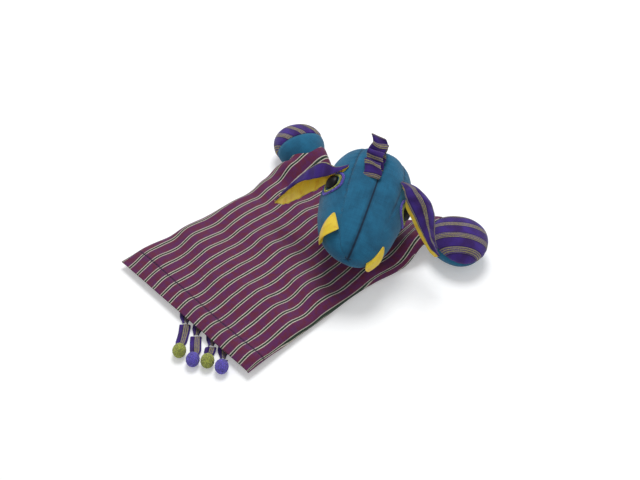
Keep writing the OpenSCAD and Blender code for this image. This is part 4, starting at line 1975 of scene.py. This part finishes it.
# -------------------------------------------------------------------- neck
@dataclass
class Neck:
    """The short cloth tube between the glove and the head."""
    form: HeadForm
    pivot: Vector = field(default_factory=lambda: Vector((MIDDLE, 66, 12)))

    def build(self, fin: Finishes) -> None:
        """Builds the gathered collar and the tube to the head.

        Args:
            fin: The finishes.
        """
        f = self.form
        mouth = f.world(f.mouth)
        axis = f.turn @ f.axis
        ax = f.turn @ Vector((1, 0, 0))
        ay = axis.cross(ax)

        def ring(k: float, a: float) -> Vector:
            """A point of the tube, k along it and a round it."""
            yaw = Matrix.Rotation(math.radians(f.yaw), 3, "Z")
            low = self.pivot + yaw @ Vector(
                (13.4 * cosd(a), -4.0 + 2.0 * sind(a), -0.5 + 2.6 * sind(a)))
            r = 11.0
            top = mouth + (ax * cosd(a) + ay * sind(a)) * r + axis * 0.8
            gather = 0.5 * math.sin(math.radians(a) * 11) * sind(180 * k)
            p = low.lerp(top, k)
            out = (p - (self.pivot.lerp(mouth, k))).normalized()
            return p + out * (gather + 1.2 * sind(180 * k))

        bm = grid_mesh(18, 72, lambda a, b: ring(b, 360 * a),
                       lambda a, b: Vector((a * 76, b * 22, 0)))
        bmesh.ops.remove_doubles(bm, verts=bm.verts, dist=0.02)
        obj = sew(finish_mesh(bm, "neck_cloth", recalc=True), 0.9)
        dress(obj, fin.plain_plum, Slot.PLUM, None, "neck_sleeve")
        (self.pivot.lerp(mouth, 0.8)) * MM
        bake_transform(obj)

        def collar(a: float, b: float) -> Vector:
            """A point of the collar."""
            t = 360 * a
            r = 13.9 + 0.5 * math.sin(math.radians(t) * 9) + 0.6 * (b - 0.5)
            return Vector((self.pivot.x + r * cosd(t),
                           self.pivot.y + r * sind(t), mix(1.9, 10.6, b)))

        bm = grid_mesh(8, 96, collar, lambda a, b: Vector((a * 90, b * 9, 0)))
        bmesh.ops.remove_doubles(bm, verts=bm.verts, dist=0.02)
        obj = finish_mesh(bm, "neck_collar_cloth", recalc=True)
        thicken(obj, 1.2, 0)
        apply_modifiers(obj)
        dress(obj, fin.plain_plum, Slot.PLUM, "neck", "neck_collar")
        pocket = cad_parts["finger_pocket"]
        pocket.data.materials.clear()
        pocket.data.materials.append(fin.plain_plum)


# -------------------------------------------------------------------- tail
@dataclass
class Tail:
    """The four tasselled strips of the tail."""
    origin: Vector = field(default_factory=lambda: Vector((0, HEM_Y, 0)))
    turn: float = -45.0
    first: float = 2.5
    pitch: float = 11.9
    width: float = 9.6
    ball_r: float = 5.75
    run: float = 38.0
    balls: tuple = (0, 9, 10, 15.5)

    def world(self, along: float, across: float, z: float) -> Vector:
        """A point of the tail in the frame.

        Args:
            along: Place along the strips.
            across: Place across them.
            z: Height over the table.

        Returns:
            The point, in millimetres.
        """
        return self.origin + Vector(
            (along * cosd(self.turn) - across * sind(self.turn),
             along * sind(self.turn) + across * cosd(self.turn), z))

    def strip(self, k: int, s0: float, s1: float,
              name: str) -> bpy.types.Object:
        """Builds one woven strip from s0 to s1 along its line.

        Args:
            k: Which strip, from 0.
            s0: Where it starts.
            s1: Where it ends.
            name: The piece's name.

        Returns:
            The strip.
        """
        mid = self.first + self.pitch * k
        n = max(8, int(s1 - s0))

        def place(a: float, b: float) -> Vector:
            """Place of a grid point."""
            s = mix(s0, s1, b)
            end = ease((s - s1 + 9) / 9)
            w = (a - 0.5) * mix(self.width, 4.2, end)
            z = 0.9 + 0.6 * math.sin(s / 5.5 + k) * ease((s + 2) / 8)
            z += mix(0.9, 2.4, end) * (1 - (2 * a - 1) ** 2)
            z += 0.45 * math.sin(a * 9 + s / 4 + 2 * k)
            return self.world(s, mid + w + 0.8 * math.sin(s / 7 + 2 * k),
                              max(0.65, z))

        bm = grid_mesh(n, 8, place, lambda a, b: Vector(
            ((a - 0.5) * self.width + 5.0, mix(s0, s1, b), k)))
        return sew(finish_mesh(bm, name, recalc=True), 0.9, 0)

    def ball(self, k: int, fin: Finishes) -> None:
        """Builds a crocheted ball from a spiral of raised stitches.

        Args:
            k: Which ball, from 0.
            fin: The finishes.
        """
        bm = bmesh.new()
        bmesh.ops.create_icosphere(bm, subdivisions=5, radius=1)
        mid = self.first + self.pitch * k
        c = self.world(self.run + self.balls[k], mid, self.ball_r)
        rows, per = 9.0, 17
        turn = Euler((0.7 * k, 0.5 + k, 0.3 * k)).to_matrix()
        run = Vector((cosd(self.turn), sind(self.turn), 0))
        for v in bm.verts:
            d = v.co.normalized()
            phi = math.acos(clamp(d.z, -1))
            th = math.atan2(d.y, d.x)
            row = phi / math.pi * rows + th / (2 * math.pi)
            ridge = abs(math.sin(math.pi * row))
            stitch = abs(math.sin(th * max(3, round(per * math.sin(phi))) / 2
                                  + math.floor(row) * 1.3))
            r = self.ball_r * (0.9 + 0.1 * ridge ** 0.7 * (0.45
                                                           + 0.55 * stitch))
            q = turn @ (d * r)
            v.co = c + q + run * q.dot(run) * 0.16
        obj = finish_mesh(bm, f"crochet_ball_{k + 1}_yarn")
        olive = k % 2 == 0
        dress(obj, fin.olive if olive else fin.violet,
              Slot.OLIVE if olive else Slot.VIOLET, f"tassel_{k + 1}",
              f"crochet_ball_{k + 1}")

    def build(self, fin: Finishes) -> None:
        """Builds the strips, the tassels and the balls.

        Args:
            fin: The finishes.
        """
        stems = []
        for k in range(4):
            mid = self.first + self.pitch * k
            hinge = mid + 4.3
            end = self.run + self.balls[k] - self.ball_r + 1.5
            stems.append(self.strip(k, -9, hinge - 0.4, f"stem_{k}"))
            tassel = self.strip(k, hinge + 0.3, end, f"tassel_cloth_{k + 1}")
            dress(tassel, fin.band, Slot.STRIPE, f"tassel_{k + 1}",
                  f"tassel_strip_{k + 1}")
            self.ball(k, fin)
        dress(join(stems, "tail_cloth"), fin.band, Slot.STRIPE, "tail",
              "tail_strip")


# ------------------------------------------------------------------ studio
@dataclass
class Studio:
    """Floor, soft light and the camera."""
    azimuth: float = 46.5
    elevation: float = 44.3
    distance: float = 0.946
    lens: float = 59.06
    target: Vector = field(default_factory=lambda: Vector((0.010, 0.009, 0)))

    def camera(self) -> None:
        """Places the camera at the photograph's angle."""
        a, e = self.azimuth, self.elevation
        back = Vector((sind(a) * cosd(e), -cosd(a) * cosd(e), sind(e)))
        data = bpy.data.cameras.new("camera")
        data.lens = self.lens
        data.sensor_width = 36
        data.sensor_fit = "HORIZONTAL"
        data.clip_start = 0.01
        cam = add_object("camera", data)
        cam.location = self.target + back * self.distance
        cam.rotation_euler = (-back).to_track_quat("-Z", "Y").to_euler()
        bpy.context.scene.camera = cam

    @staticmethod
    def seen(w: Wiring, *rays: str) -> Signal:
        """1 for rays of these kinds, and 0 for others.

        Args:
            w: The wiring.
            rays: The outputs of the Light Path node.

        Returns:
            The signal.
        """
        path = w.node("ShaderNodeLightPath")
        total = w.out(path, rays[0])
        for kind in rays[1:]:
            total = w.math("MAXIMUM", total, w.out(path, kind))
        return total

    def floor(self) -> None:
        """Builds the pale floor."""
        bm = bmesh.new()
        bmesh.ops.create_grid(bm, x_segments=1, y_segments=1, size=3000)
        obj = finish_mesh(bm, "floor")
        mat, w, shader = new_material("floor", {
            "Base Color": (0.86, 0.87, 0.88, 1), "Roughness": 0.9,
            "Specular IOR Level": 0.1})
        glow = w.node("ShaderNodeEmission")
        w.put(glow.inputs["Color"], (1, 1, 1, 1))
        w.put(glow.inputs["Strength"], self.seen(
            w, "Is Camera Ray", "Is Glossy Ray", "Is Transmission Ray") * 0.27)
        add = w.node("ShaderNodeAddShader")
        w.put(add.inputs[0], w.out(shader))
        w.put(add.inputs[1], w.out(glow))
        w.put(mat.node_tree.nodes["Material Output"].inputs["Surface"],
              w.out(add))
        obj.data.materials.append(mat)

    def light(self, name: str, place: tuple, size: float,
              power: float) -> None:
        """Adds a soft area lamp that looks at the puppet.

        Args:
            name: The lamp's name.
            place: Where it is, in metres.
            size: Its width, in metres.
            power: Its power, in watts.
        """
        data = bpy.data.lights.new(name, "AREA")
        data.shape = "DISK"
        data.size = size
        data.energy = power
        lamp = add_object(name, data)
        lamp.location = place
        lamp.rotation_euler = (Vector(place) - self.target).to_track_quat(
            "Z", "Y").to_euler()

    def world(self) -> None:
        """Sets a white surround."""
        world = bpy.data.worlds.new("studio")
        bpy.context.scene.world = world
        world.use_nodes = True
        w = Wiring(world.node_tree)
        bg = world.node_tree.nodes["Background"]
        w.put(bg.inputs["Color"], (1, 1, 1, 1))
        seen = self.seen(w, "Is Camera Ray", "Is Transmission Ray")
        w.put(bg.inputs["Strength"], w.math("MAXIMUM", seen, 0.44))

    def build(self) -> None:
        """Builds the whole studio."""
        self.camera()
        self.floor()
        self.world()
        self.light("key", (-0.35, 0.45, 1.35), 0.7, 13.0)
        self.light("fill", (0.9, -0.9, 0.9), 1.0, 1.2)
        bpy.context.scene.view_settings.view_transform = "Standard"


def main() -> None:
    """Builds the puppet, piece by piece."""
    logging.basicConfig(level=logging.INFO, format="%(message)s")
    Studio().build()
    fin = Finishes()
    form = HeadForm()
    Glove().build(fin)
    Neck(form).build(fin)
    Head(form).build(fin)
    Face(form).build(fin)
    Ear.left().build(fin)
    Ear.right().build(fin)
    Paw(LEFT_ARM, 7, 84, 20).build(fin)
    Paw(RIGHT_ARM, 39, 22).build(fin)
    Tail().build(fin)


if __name__ == "__main__":
    main()
